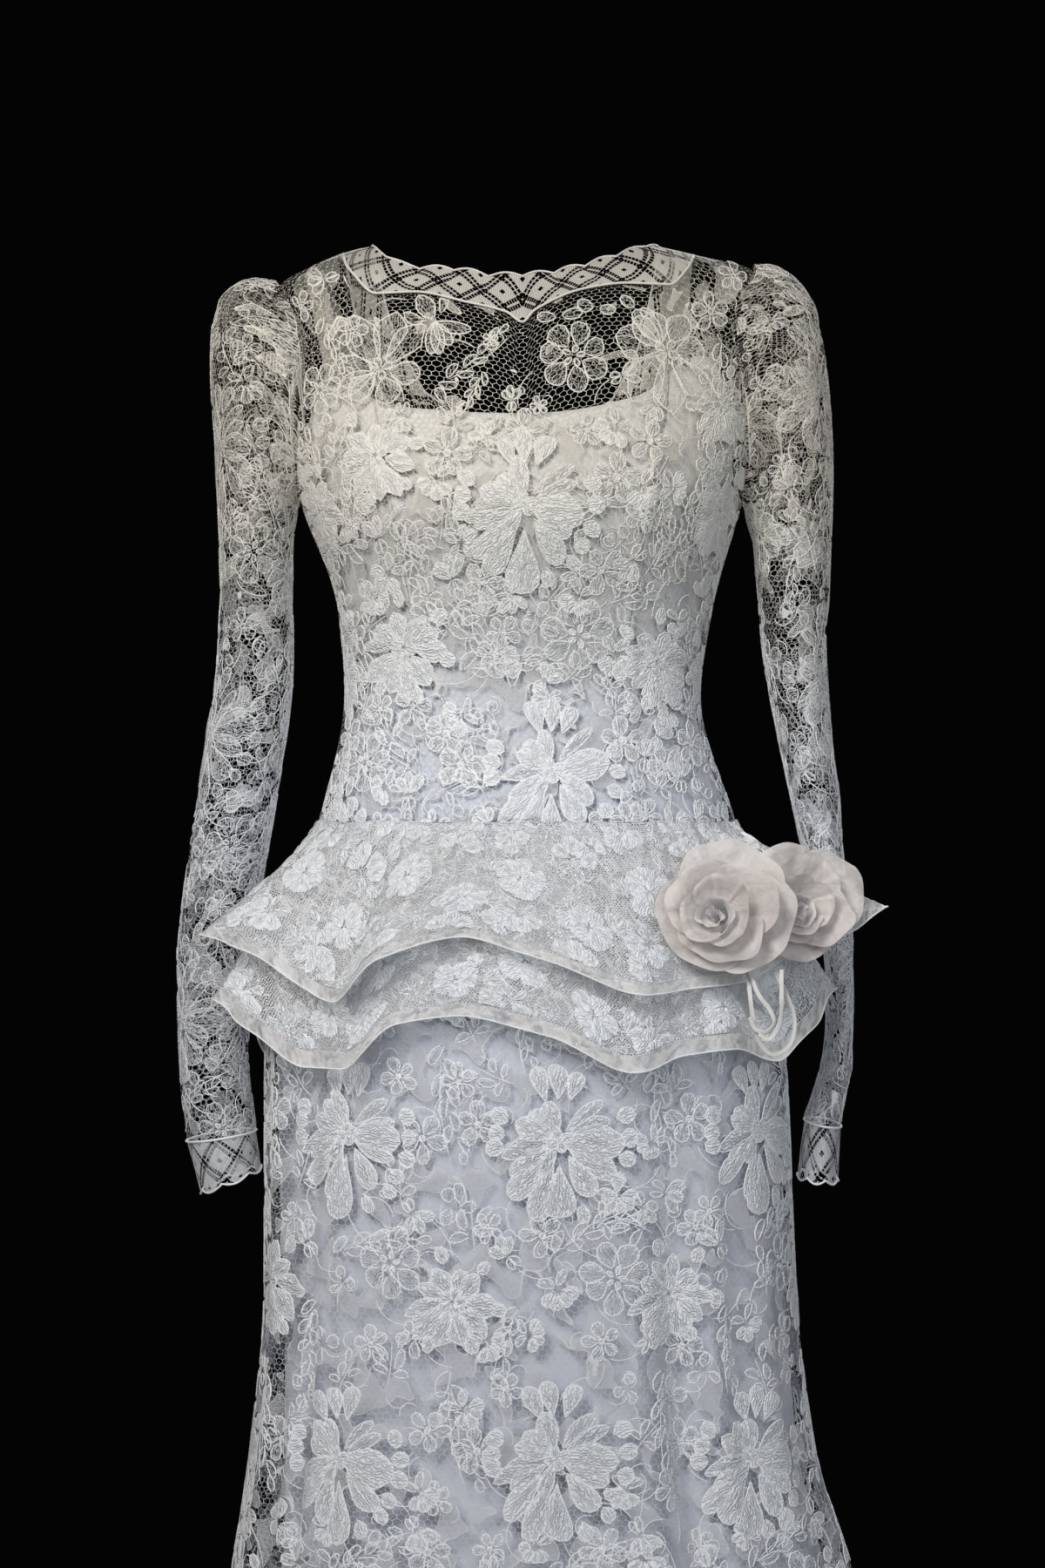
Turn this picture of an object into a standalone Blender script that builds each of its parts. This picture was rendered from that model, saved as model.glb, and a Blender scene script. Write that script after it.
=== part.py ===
"""Long-sleeved wedding dress: corded lace over a crepe slip, with a two-tier peplum and two organza roses.

Metres, +Z up. The dress faces -Y and the wearer's left is +X. The origin lies midway between the tops of
the shoulders, where a hanger or a wearer holds the dress up.

Every cloth panel is a grid of points on one hollow form, thickened to a wall. The form is a stack of
level rings; a ring is a squared ellipse whose half-widths and depths come from the FORM table.
An angle runs round the form from centre front (0) towards the wearer's left (+90) and on to the back.
"""

import bpy
import numpy as np
from math import pi, radians
from mathutils import Matrix, Vector

COLLECTION = "wedding_dress"

# Cloth walls and the gap left at every seam
LACE_WALL = 0.0012
CREPE_WALL = 0.0014
ORGANZA_WALL = 0.0010
TAPE_WALL = 0.0010
SEAM_GAP = 0.0003
# Between the middles of two walls that meet at a lean, so that the walls themselves keep the seam gap
LEANING_GAP = 0.0010

# Levels on the form
SHOULDER_TIP_RIGHT = -0.020
SHOULDER_TIP_LEFT = -0.007
UNDERARM = -0.187
DROPPED_WAIST = -0.432
HEM = -1.400
UNDERSKIRT_HEM = -1.370
RIDGE_TOP = 0.014

# How far each layer lies inside the lace
SLIP_INSET = 0.0050
UNDERARM_EASE = 0.0040
UNDERARM_EASE_SPAN = 0.050
UNDERARM_EASE_BELOW = 0.030
STRAP_INSET = 0.0100
TAPE_INSET = 0.0022
RING_POWER = 2.25
ARMHOLE_DEPTH = 0.056

# Seams that run up the form, as turns: between slip panels in degrees, at the lace's sides and centre back
SLIP_SEAM = 0.2
SIDE_SEAM = 0.003
CENTRE_BACK_SEAM = 0.004
PRINCESS_ANGLE = 30
PRINCESS_LEAN = 0.28

# Grid steps, rows then columns
SLIP_STEPS = (7, 4)
UNDERSKIRT_STEPS = (3, 10)
SKIRT_STEPS = (6, 16)
SLEEVE_STEPS = 12
PETAL_STEPS = (2, 5)
BUD_STEPS = (1, 12)
TAPE_STEPS = (8, 1)
STRAP_STEPS = 6
RIDGE_STEPS = 60
PULL_STEPS = 9

QUARTER = radians(90)
FULL_TURN = radians(360)

FORM_COLUMNS = ("height", "right", "left", "front", "back")
FORM = (
    (0.014, 0.104, 0.092, 0.016, 0.016),
    (0.004, 0.142, 0.132, 0.040, 0.036),
    (-0.007, 0.167, 0.1755, 0.056, 0.050),
    (-0.020, 0.1865, 0.186, 0.068, 0.062),
    (-0.055, 0.191, 0.189, 0.084, 0.079),
    (-0.110, 0.189, 0.187, 0.106, 0.094),
    (-0.187, 0.170, 0.1685, 0.127, 0.100),
    (-0.268, 0.142, 0.146, 0.104, 0.088),
    (-0.335, 0.137, 0.137, 0.091, 0.083),
    (-0.432, 0.157, 0.164, 0.106, 0.107),
    (-0.510, 0.180, 0.184, 0.118, 0.124),
    (-0.617, 0.1975, 0.202, 0.128, 0.135),
    (-0.790, 0.198, 0.210, 0.135, 0.142),
    (-0.905, 0.208, 0.223, 0.144, 0.153),
    (-1.005, 0.222, 0.2505, 0.162, 0.174),
    (-1.400, 0.288, 0.322, 0.232, 0.252),
)

# How far the underskirt hangs inside the lace skirt
EASE_COLUMNS = ("height", "right", "left", "middle")
EASE = (
    (-0.432, 0.0048, 0.0048, 0.0048),
    (-0.617, 0.009, 0.008, 0.006),
    (-0.790, 0.015, 0.009, 0.010),
    (-1.005, 0.038, 0.019, 0.020),
    (-1.400, 0.085, 0.070, 0.060),
)

# Soft pressed folds of the lace skirt: the angle and half-width in degrees, and the depth at the hem
FOLD_COLUMNS = ("angle", "half_width", "depth", "starts_at", "full_at")
FOLDS = (
    (-66, 9, 0.005, -0.56, -0.66),
    (56, 10, 0.005, -0.66, -0.80),
    (38, 12, -0.012, -0.78, -1.10),
    (12, 16, 0.010, -0.86, -1.30),
    (-24, 18, 0.012, -0.80, -1.30),
    (78, 14, 0.014, -0.86, -1.20),
    (-84, 12, 0.012, -0.90, -1.30),
    (118, 16, 0.016, -0.70, -1.20),
    (150, 18, -0.016, -0.72, -1.25),
    (180, 16, 0.016, -0.66, -1.20),
    (-148, 17, -0.015, -0.76, -1.25),
    (-114, 16, 0.015, -0.70, -1.20),
)

# The slip's top edge: its height at each angle in degrees
SLIP_TOP_COLUMNS = ("angle", "height")
SLIP_TOP = (
    (-180, -0.168),
    (-110, -0.188),
    (-90, -0.196),
    (-74, -0.184),
    (-62, -0.154),
    (-52, -0.110),
    (-46, -0.094),
    (-24, -0.1205),
    (0, -0.127),
    (22, -0.112),
    (36, -0.082),
    (43, -0.080),
    (56, -0.122),
    (64, -0.155),
    (74, -0.182),
    (90, -0.196),
    (110, -0.188),
    (180, -0.168),
)
# The lace's top edge at the front, and the neck border's edge above it: distance from centre and height
NECK_SEAM_COLUMNS = ("across", "height")
NECK_SEAM = (
    (-0.137, 0.004),
    (-0.1345, -0.007),
    (-0.127, -0.0185),
    (-0.110, -0.0340),
    (-0.0816, -0.0335),
    (-0.042, -0.0420),
    (-0.012, -0.0500),
    (0.000, -0.0580),
    (0.009, -0.0485),
    (0.048, -0.0310),
    (0.080, -0.0265),
    (0.110, -0.0270),
    (0.124, -0.0140),
    (0.129, -0.0040),
    (0.131, 0.004),
)
NECK_EDGE = (
    (-0.116, 0.012),
    (-0.105, 0.000),
    (-0.082, -0.0120),
    (-0.052, -0.0140),
    (-0.020, -0.0195),
    (0.010, -0.0185),
    (0.042, -0.0120),
    (0.072, -0.0010),
    (0.097, 0.010),
    (0.106, 0.012),
)
# The same two edges of the low round neck at the back
BACK_SEAM = (
    (-0.137, 0.004),
    (-0.1355, -0.006),
    (-0.133, -0.022),
    (-0.127, -0.052),
    (-0.112, -0.092),
    (-0.080, -0.130),
    (-0.040, -0.149),
    (0.000, -0.154),
    (0.040, -0.149),
    (0.080, -0.130),
    (0.110, -0.092),
    (0.123, -0.052),
    (0.128, -0.022),
    (0.130, -0.006),
    (0.131, 0.004),
)
BACK_EDGE = (
    (-0.116, 0.012),
    (-0.106, -0.030),
    (-0.090, -0.072),
    (-0.064, -0.103),
    (-0.032, -0.119),
    (0.000, -0.123),
    (0.032, -0.119),
    (0.064, -0.103),
    (0.086, -0.072),
    (0.098, -0.030),
    (0.106, 0.012),
)
NECK_SCALLOPS = 9
SCALLOP_DEPTH = 0.0035
# The scallops flatten out over this share of the border's length at each shoulder
SCALLOP_FADE = 1 / 6
BORDER_SEAM = 0.0016
BORDER_STEPS = 2
SHOULDER_COLUMNS = 3
NARROW = 0.0001
BODICE_ROWS = (0, 0.11, 0.22, 0.34, 0.46, 0.58, 0.70, 0.81, 0.90, 0.96, 0.99, 1)

# Sleeve sections: the outer and inner points of each, half its depth, and how far back its middle lies
SLEEVE_COLUMNS = ("outer", "outer_height", "inner", "inner_height", "half_depth", "back")
SLEEVE_RIGHT = (
    (0.2120, -0.0145, 0.1730, -0.190, 0.059, 0.000),
    (0.2345, -0.0340, 0.1735, -0.194, 0.059, 0.000),
    (0.2395, -0.0800, 0.1745, -0.200, 0.058, 0.001),
    (0.2360, -0.1500, 0.1770, -0.216, 0.055, 0.003),
    (0.2330, -0.2340, 0.1775, -0.252, 0.051, 0.005),
    (0.2365, -0.3220, 0.1780, -0.330, 0.047, 0.008),
    (0.2510, -0.4150, 0.1905, -0.418, 0.045, 0.010),
    (0.2645, -0.5150, 0.2070, -0.515, 0.043, 0.012),
    (0.2650, -0.6000, 0.2120, -0.600, 0.040, 0.012),
    (0.2590, -0.6760, 0.2060, -0.668, 0.037, 0.012),
)
SLEEVE_LEFT = (
    (0.1990, -0.0065, 0.1705, -0.190, 0.059, 0.000),
    (0.2250, -0.0360, 0.1715, -0.194, 0.059, 0.000),
    (0.2345, -0.0950, 0.1735, -0.203, 0.058, 0.001),
    (0.2385, -0.1600, 0.1780, -0.218, 0.055, 0.003),
    (0.2360, -0.2500, 0.1815, -0.256, 0.051, 0.005),
    (0.2340, -0.3150, 0.1880, -0.318, 0.050, 0.008),
    (0.2450, -0.4350, 0.2120, -0.435, 0.049, 0.010),
    (0.2530, -0.5300, 0.2330, -0.530, 0.047, 0.010),
    (0.2530, -0.6050, 0.2335, -0.605, 0.046, 0.010),
    (0.2450, -0.6640, 0.2180, -0.660, 0.043, 0.010),
)
CUFF_RIGHT = (
    (0.2590, -0.6763, 0.2060, -0.6683, 0.037, 0.012),
    (0.2480, -0.7160, 0.2020, -0.6980, 0.039, 0.012),
)
CUFF_LEFT = (
    (0.2450, -0.6643, 0.2180, -0.6603, 0.043, 0.010),
    (0.2430, -0.7060, 0.2125, -0.7040, 0.044, 0.010),
)
CUFF_SCALLOPS = 7

# Slip straps: distance from centre at the slip's front, at the shoulder and at the back, and the end heights
STRAP_WIDTH = 0.015
STRAP_COLUMNS = ("name", "side", "front_across", "top_across", "back_across", "front_height", "back_height")
STRAPS = (
    ("slip_strap_left", 1, 0.118, 0.120, 0.095, -0.088, -0.170),
    ("slip_strap_right", -1, 0.139, 0.160, 0.100, -0.102, -0.170),
)

# The two flounces of the peplum. A row is a fold: how far its edge stands out and how far it hangs.
# The upper flounce stands out from the lower one, the lower one from the skirt.
FLOUNCE_COLUMNS = ("angle", "out", "drop")
LOWER_FLOUNCE = (
    (-180, 0.030, 0.165),
    (-160, 0.012, 0.178),
    (-140, 0.050, 0.168),
    (-122, 0.030, 0.190),
    (-108, 0.006, 0.185),
    (-90, 0.006, 0.150),
    (-80, 0.014, 0.140),
    (-70, 0.052, 0.131),
    (-58, 0.040, 0.152),
    (-46, 0.016, 0.180),
    (-34, 0.022, 0.180),
    (-22, 0.026, 0.146),
    (-10, 0.016, 0.140),
    (4, 0.022, 0.155),
    (18, 0.026, 0.181),
    (30, 0.018, 0.170),
    (42, 0.022, 0.166),
    (54, 0.024, 0.176),
    (64, 0.040, 0.150),
    (72, 0.050, 0.124),
    (80, 0.014, 0.130),
    (90, 0.005, 0.155),
    (110, 0.006, 0.185),
    (124, 0.034, 0.186),
    (142, 0.046, 0.165),
    (162, 0.012, 0.178),
    (180, 0.030, 0.165),
)
UPPER_FLOUNCE = (
    (-180, 0.016, 0.110),
    (-160, 0.022, 0.120),
    (-140, 0.024, 0.106),
    (-122, 0.014, 0.124),
    (-108, 0.004, 0.116),
    (-90, 0.003, 0.090),
    (-80, 0.018, 0.084),
    (-70, 0.040, 0.083),
    (-58, 0.028, 0.094),
    (-46, 0.018, 0.118),
    (-34, 0.020, 0.130),
    (-24, 0.030, 0.098),
    (-10, 0.014, 0.082),
    (4, 0.016, 0.100),
    (20, 0.018, 0.124),
    (34, 0.008, 0.120),
    (48, 0.006, 0.116),
    (58, 0.018, 0.100),
    (66, 0.060, 0.078),
    (72, 0.078, 0.062),
    (79, 0.018, 0.076),
    (90, 0.003, 0.095),
    (110, 0.004, 0.118),
    (124, 0.014, 0.122),
    (142, 0.024, 0.106),
    (162, 0.020, 0.118),
    (180, 0.016, 0.110),
)
FLOUNCE_LIFT = 0.0020
FLOUNCE_STEP = 0.0032
FLARE_POWER = 1.35
BINDING_START = 0.90
BINDING_GAP = 0.010

# Roses: layers of petals round an axis, each layer a shallow bowl inside the last
PETAL_COLUMNS = ("layer", "petals", "turn", "foot", "foot_height", "rim", "rim_height")
PETALS = (
    (1, 3, 20, 0.014, 0.000, 0.049, 0.009),
    (2, 3, 80, 0.010, 0.006, 0.038, 0.022),
    (3, 3, 150, 0.008, 0.013, 0.025, 0.031),
)
PETAL_OVERLAP = radians(16)
PETAL_TUCK = 0.0028
# A petal's corners are shorter than its middle by this share, and the power sets how squarely they turn
PETAL_CORNER = 0.22
PETAL_CORNER_POWER = 4
# The rolled bud: its first radius, how much that grows with a turn and leans out, and its foot and height
BUD_TURNS = 1.4
BUD_RADIUS = 0.0035
BUD_GROWTH = 0.0030
BUD_LEAN = 0.0020
BUD_FOOT = 0.014
BUD_HEIGHT = 0.018
BUD_SINK = 0.002
ROSE_COLUMNS = ("name", "centre", "facing", "size", "spin")
ROSES = (
    ("rose_large", (0.152, -0.131, -0.494), (-0.12, -1.0, 0.22), 1.02, 0),
    ("rose_small", (0.208, -0.100, -0.489), (0.25, -1.0, 0.16), 0.90, 70),
)

# Ribbon loops: the height and sideways place of each point of the middle line, in front of the flounces
RIBBON_WIDTH = 0.006
RIBBON_FRONT = -0.146
RIBBON_LOOPS = (
    ((0.165, -0.556), (0.168, -0.575), (0.174, -0.592), (0.184, -0.600), (0.196, -0.592), (0.199, -0.570),
     (0.192, -0.556)),
    ((0.172, -0.557), (0.180, -0.566), (0.184, -0.578), (0.177, -0.583), (0.170, -0.578)),
    ((0.186, -0.556), (0.190, -0.566), (0.187, -0.578), (0.180, -0.589), (0.172, -0.586)),
)
RIBBON_STEP_FORWARD = 0.005

# Centre-back zip
ZIP_TOP = -0.130
TAPE_TOP = -0.160
TAPE_FOOT = -0.428
TAPE_REACH = 0.011
SLIDER_SIZE = (0.0050, 0.0020, 0.0090)
SLIDER_ROUNDING = 0.0005
LUG_SIZE = (0.0014, 0.0034, 0.0040)
LUG_SINK = 0.0004
LUG_RISE = 0.002
PIN_HOLE = 0.0011
PIN_HOLE_LENGTH = 0.006
PIN_HOLE_SIDES = 12
PIN_OUT = 0.0017
# The pull tab: half-width at the pin and what it gains, the share of its length that rounds the tip
PULL_WALL = 0.0011
PULL_LENGTH = 0.022
PULL_NECK = 0.0026
PULL_SPREAD = 0.0012
PULL_SPREAD_RATE = 1.6
PULL_TIP = 0.22
PULL_TIP_LEAST = 0.12
PULL_SLOT_FOOT = -0.0031
PULL_SLOT_SPARE = 0.0009
PULL_SLOT_DEPTH = 0.004


class Table:
    """Rows of numbers with named columns, read smoothly between the rows."""

    def __init__(self, names, rows):
        self.names = names
        ordered = sorted(rows, key=lambda row: row[0])
        self.values = np.array(ordered, dtype=float)

    def at(self, name, where):
        """A column's value by a cubic that never passes the rows on either side."""
        key = self.values[:, 0]
        column = self.values[:, self.names.index(name)]
        steps = np.diff(key)
        slopes = np.diff(column) / steps
        tangent = np.zeros(len(key))
        same_way = slopes[:-1] * slopes[1:] > 0
        bottom = np.where(same_way, slopes[:-1] + slopes[1:], 1.0)
        tangent[1:-1] = np.where(same_way, 2 * slopes[:-1] * slopes[1:] / bottom, 0.0)
        tangent[0] = slopes[0]
        tangent[-1] = slopes[-1]
        where = np.clip(where, key[0], key[-1])
        row = np.clip(np.searchsorted(key, where) - 1, 0, len(key) - 2)
        step = steps[row]
        part = (where - key[row]) / step
        return (
            column[row] * (1 + 2 * part) * (1 - part) ** 2
            + tangent[row] * step * part * (1 - part) ** 2
            + column[row + 1] * part**2 * (3 - 2 * part)
            + tangent[row + 1] * step * part**2 * (part - 1)
        )


form = Table(FORM_COLUMNS, FORM)
ease = Table(EASE_COLUMNS, EASE)
slip_top = Table(SLIP_TOP_COLUMNS, SLIP_TOP)
neck_seam = Table(NECK_SEAM_COLUMNS, NECK_SEAM)
neck_edge = Table(NECK_SEAM_COLUMNS, NECK_EDGE)
back_seam = Table(NECK_SEAM_COLUMNS, BACK_SEAM)
back_edge = Table(NECK_SEAM_COLUMNS, BACK_EDGE)
lower_flounce = Table(FLOUNCE_COLUMNS, LOWER_FLOUNCE)
upper_flounce = Table(FLOUNCE_COLUMNS, UPPER_FLOUNCE)


def unit(vectors):
    return vectors / np.linalg.norm(vectors, axis=-1, keepdims=True)


def signed_power(value, power):
    return np.sign(value) * np.abs(value) ** power


def ring(height, angle, out=0.0, out_side=None):
    """Points of the form at a height and angle, moved out from it."""
    if out_side is None:
        out_side = out
    side = signed_power(np.sin(angle), 2 / RING_POWER)
    ahead = signed_power(np.cos(angle), 2 / RING_POWER)
    half = np.where(side >= 0, form.at("left", height), form.at("right", height)) + out_side
    deep = np.where(ahead >= 0, form.at("front", height), form.at("back", height)) + out
    return np.stack([half * side, -deep * ahead, height + 0 * angle], axis=-1)


def on_form(across, height, facing, inset=0.0):
    """Points of the form's front (facing -1) or back (+1) at a distance from centre and a height."""
    level = height + inset
    half = np.where(across >= 0, form.at("left", level), form.at("right", level)) - inset
    deep = form.at("front" if facing < 0 else "back", level) - inset
    share = np.clip(1 - (np.abs(across) / half) ** RING_POWER, 0, 1) ** (1 / RING_POWER)
    return np.stack([across, facing * deep * share, height], axis=-1)


def smooth_step(value):
    value = np.clip(value, 0, 1)
    return value * value * (3 - 2 * value)


def fold_out(height, angle):
    """How far the pressed folds stand out from the lace skirt."""
    total = 0.0 * angle * height
    for turn, half_width, depth, starts_at, full_at in FOLDS:
        apart = np.degrees(angle) - turn
        apart = (apart + 180) % 360 - 180
        shape = smooth_step(1 - np.abs(apart) / half_width)
        total = total + depth * shape * smooth_step((starts_at - height) / (starts_at - full_at))
    return total


def ridge_height(across):
    """Height of the shoulder ridge at a distance from centre."""
    heights = np.linspace(RIDGE_TOP, SHOULDER_TIP_RIGHT, RIDGE_STEPS)
    left = np.interp(across, form.at("left", heights), heights)
    right = np.interp(-across, form.at("right", heights), heights)
    return np.where(across >= 0, left, right)


def armhole(height, side, facing):
    """Half the armhole's opening at a height, and the distance from centre of its front or back edge."""
    tip = SHOULDER_TIP_LEFT if side > 0 else SHOULDER_TIP_RIGHT
    name = "left" if side > 0 else "right"
    middle = (tip + UNDERARM) / 2
    reach = (tip - UNDERARM) / 2
    share = np.clip(1 - ((height - middle) / reach) ** 2, 0, 1)
    opening = ARMHOLE_DEPTH * np.sqrt(share)
    deep = np.where(np.asarray(facing) < 0, form.at("front", height), form.at("back", height))
    edge = np.clip(1 - (opening / deep) ** RING_POWER, 0, 1) ** (1 / RING_POWER)
    return opening, form.at(name, height) * edge


def cloth(name, grid, wall, material, closed=False):
    """A panel: a grid of points thickened to a wall. Closed joins the last column to the first."""
    rows, columns = grid.shape[:2]
    corner = np.arange(rows * columns).reshape(rows, columns)
    if closed:
        corner = np.concatenate([corner, corner[:, :1]], axis=1)
    faces = np.stack([corner[:-1, :-1], corner[:-1, 1:], corner[1:, 1:], corner[1:, :-1]], axis=-1)
    mesh = bpy.data.meshes.new(name)
    mesh.from_pydata(grid.reshape(-1, 3).tolist(), [], faces.reshape(-1, 4).tolist())
    mesh.materials.append(material)
    mesh.shade_smooth()
    piece = add_object(name, mesh)
    wall_modifier = piece.modifiers.new("wall", "SOLIDIFY")
    wall_modifier.thickness = wall
    wall_modifier.offset = 0.0
    return piece


def add_object(name, data):
    piece = bpy.data.objects.new(name, data)
    collection.objects.link(piece)
    return piece


def fabric(name, colour, roughness, metallic=0.0):
    material = bpy.data.materials.new(name)
    material.use_nodes = True
    surface = material.node_tree.nodes["Principled BSDF"]
    surface.inputs["Base Color"].default_value = (*colour, 1.0)
    surface.inputs["Roughness"].default_value = roughness
    surface.inputs["Metallic"].default_value = metallic
    return material


def grid_of(rows, columns, first=0.0, last=1.0):
    """Row fractions 0 to 1 and column fractions first to last, as two arrays of one shape."""
    return np.meshgrid(np.linspace(0, 1, rows + 1), np.linspace(first, last, columns + 1), indexing="ij")


def panel_turns(seam, side):
    """Column places along the top of half a bodice panel, 0 at centre to 1 at the armhole.

    There is a column on each row of the neck seam's table, then a few more along the shoulder.
    """
    tip = SHOULDER_TIP_LEFT if side > 0 else SHOULDER_TIP_RIGHT
    tip_half = form.at("left" if side > 0 else "right", tip)
    across = np.sort(side * seam.values[:, 0])
    across = across[across >= 0]
    neck = np.arcsin((across / tip_half) ** (RING_POWER / 2)) / QUARTER
    shoulder = np.linspace(neck[-1], 1, SHOULDER_COLUMNS + 1)
    return np.concatenate([neck, shoulder[1:]])


def bodice_panel(top_turns, facing, seam):
    """A lace bodice panel from the dropped waist to its top, with a column ending at each turn of its top.

    Its top edge is the neck seam near the centre and the shoulder ridge beyond it. Above the underarm its
    sides follow the armholes. Rows crowd towards the top, where the form rounds over the shoulder, and
    columns are evenly spread at the waist.
    """
    count = len(top_turns)
    centre = np.argmin(np.abs(top_turns))
    even = np.interp(np.arange(count), (0, centre, count - 1), top_turns[[0, centre, -1]])
    climb, place = np.meshgrid(BODICE_ROWS, np.arange(count), indexing="ij")
    turn = even[place] + (top_turns - even)[place] * climb**3
    across_share = signed_power(np.sin(turn * QUARTER), 2 / RING_POWER)
    tip = np.where(turn >= 0, SHOULDER_TIP_LEFT, SHOULDER_TIP_RIGHT)
    tip_half = np.where(turn >= 0, form.at("left", tip), form.at("right", tip))
    top_across = across_share[-1] * tip_half[-1]
    past_left = top_across > seam.values[-1, 0] + NARROW
    past_right = top_across < seam.values[0, 0] - NARROW
    top = np.where(past_left | past_right, ridge_height(top_across), seam.at("height", top_across))
    bottom = DROPPED_WAIST + LEANING_GAP / 2
    height = bottom + (top - bottom) * climb
    points = on_form(across_share * side_edge(height, turn, facing), height, facing)
    points[..., 1] += facing * LEANING_GAP / 2
    return points


def side_edge(height, turn, facing):
    """Half-width of the bodice at a height: the form below the underarm, the armhole above it."""
    left = np.minimum(height, SHOULDER_TIP_LEFT)
    right = np.minimum(height, SHOULDER_TIP_RIGHT)
    left_edge = np.where(left > UNDERARM, armhole(left, 1, facing)[1], form.at("left", left))
    right_edge = np.where(right > UNDERARM, armhole(right, -1, facing)[1], form.at("right", right))
    return np.where(turn >= 0, left_edge, right_edge)


def border_panel(bodice, facing, seam, edge):
    """A strip of the neck border: from the top edge of a bodice panel, over the form, to a scalloped edge."""
    top = bodice[-1]
    inside = (top[:, 0] > seam.values[0, 0] - NARROW) & (top[:, 0] < seam.values[-1, 0] + NARROW)
    top = top[inside]
    places = np.arange(len(top))
    fine = np.linspace(0, len(top) - 1, (len(top) - 1) * BORDER_STEPS + 1)
    low = np.stack([np.interp(fine, places, top[:, axis]) for axis in range(3)], axis=-1)
    seam_end = np.where(low[:, 0] >= 0, seam.values[-1, 0], -seam.values[0, 0])
    edge_end = np.where(low[:, 0] >= 0, edge.values[-1, 0], -edge.values[0, 0])
    share = low[:, 0] / seam_end
    across = share * edge_end
    wave = np.abs(np.sin(share * NECK_SCALLOPS * QUARTER)) - 0.5
    scallop = SCALLOP_DEPTH * wave * np.clip((1 - np.abs(share)) / SCALLOP_FADE, 0, 1)
    height = np.minimum(edge.at("height", across) + scallop, ridge_height(across))
    high = on_form(across, height, facing)
    high[:, 1] += facing * LEANING_GAP / 2
    middle = (low + high) / 2
    middle = on_form(middle[:, 0], np.minimum(middle[:, 2], ridge_height(middle[:, 0])), facing)
    middle[:, 1] += facing * LEANING_GAP / 2
    along = unit(np.gradient(low, axis=0))
    way = middle - low
    way = unit(way - np.sum(way * along, axis=1, keepdims=True) * along)
    low = low + way * BORDER_SEAM
    return np.array([low, middle, high])


def sleeve_rings(table, side, around, first_ring=True):
    """Rings down a sleeve: the armhole, then one ellipse for each row of the table."""
    turn = np.arange(around) / around * FULL_TURN
    rings = []
    if first_ring:
        tip = SHOULDER_TIP_LEFT if side > 0 else SHOULDER_TIP_RIGHT
        height = (tip + UNDERARM) / 2 + (tip - UNDERARM) / 2 * np.cos(turn)
        opening, across = armhole(height, side, np.sin(turn))
        start = side * (across + LEANING_GAP + LACE_WALL / 2)
        rings.append(np.stack([start, np.sign(np.sin(turn)) * opening, height], axis=-1))
    for outer, outer_height, inner, inner_height, half_depth, back in table:
        swing = (1 + np.cos(turn)) / 2
        across = side * (inner + (outer - inner) * swing)
        height = inner_height + (outer_height - inner_height) * swing
        rings.append(np.stack([across, back + half_depth * np.sin(turn), height], axis=-1))
    return np.array(rings)


def skirt_panel(first, last, steps, bottom, inset_table=None):
    """A skirt panel between two angles, hanging from the dropped waist."""
    climb, angle = grid_of(*steps, first, last)
    top = DROPPED_WAIST - LEANING_GAP / 2
    height = top + (bottom - top) * climb
    if inset_table is None:
        return ring(height, angle, fold_out(height, angle))
    side = np.where(np.sin(angle) >= 0, inset_table.at("left", height), inset_table.at("right", height))
    return ring(height, angle, -inset_table.at("middle", height), -side)


def slip_panel(first, last, lean):
    """A slip panel between two angles in degrees; lean is how far its seams open out towards the top."""
    climb, part = grid_of(*SLIP_STEPS)
    angle = np.radians(first + (last - first) * part)
    bottom = DROPPED_WAIST + LEANING_GAP / 2
    top = slip_top.at("height", np.degrees(angle))
    height = bottom + (top - bottom) * climb
    spread = 1 + lean * climb * np.clip(1 - np.abs(angle) / QUARTER, 0, 1)
    under_arm = UNDERARM_EASE * smooth_step((height - UNDERARM + UNDERARM_EASE_BELOW) / UNDERARM_EASE_SPAN)
    return ring(height, angle * spread, -SLIP_INSET, -SLIP_INSET - under_arm)


def strap(side, front_across, top_across, back_across, front_height, back_height):
    """A strap over the shoulder, lying inside the lace, as a strip of two edges."""
    points = []
    for facing, base, base_height in ((-1, front_across, front_height), (1, back_across, back_height)):
        lift = np.sin(np.linspace(0, QUARTER, STRAP_STEPS))
        if facing > 0:
            lift = lift[-2::-1]
        across = base + (top_across - base) * lift
        crest = ridge_height(side * across) - STRAP_INSET - NARROW
        height = base_height + (crest - base_height) * lift
        edges = (-STRAP_WIDTH / 2, STRAP_WIDTH / 2)
        points.append([on_form(side * (across + shift), height, facing, STRAP_INSET) for shift in edges])
    return np.concatenate(points, axis=1).transpose(1, 0, 2)


def flounce_offset(height, angle, which):
    """How far a flounce stands out from the skirt at a height and angle, and how far down it the point is."""
    degrees = np.degrees(angle)
    fall = np.clip((DROPPED_WAIST - height) / lower_flounce.at("drop", degrees), 0, 1)
    offset = FLOUNCE_LIFT + lower_flounce.at("out", degrees) * fall**FLARE_POWER
    if which == "lower":
        return offset
    fall = np.clip((DROPPED_WAIST - height) / upper_flounce.at("drop", degrees), 0, 1)
    return offset + FLOUNCE_STEP + upper_flounce.at("out", degrees) * fall**FLARE_POWER


def flounce_panel(which, start, end, rows):
    """A flounce all round, between two shares of its length, with a column on each fold and between folds."""
    table = lower_flounce if which == "lower" else upper_flounce
    folds = table.values[:, 0]
    columns = np.sort(np.concatenate([folds[:-1], (folds[:-1] + folds[1:]) / 2]))
    part, angle = np.meshgrid(np.linspace(start, end, rows + 1), np.radians(columns), indexing="ij")
    height = DROPPED_WAIST - LEANING_GAP - (table.at("drop", np.degrees(angle)) - LEANING_GAP) * part
    return ring(height, angle, flounce_offset(height, angle, which))


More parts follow.
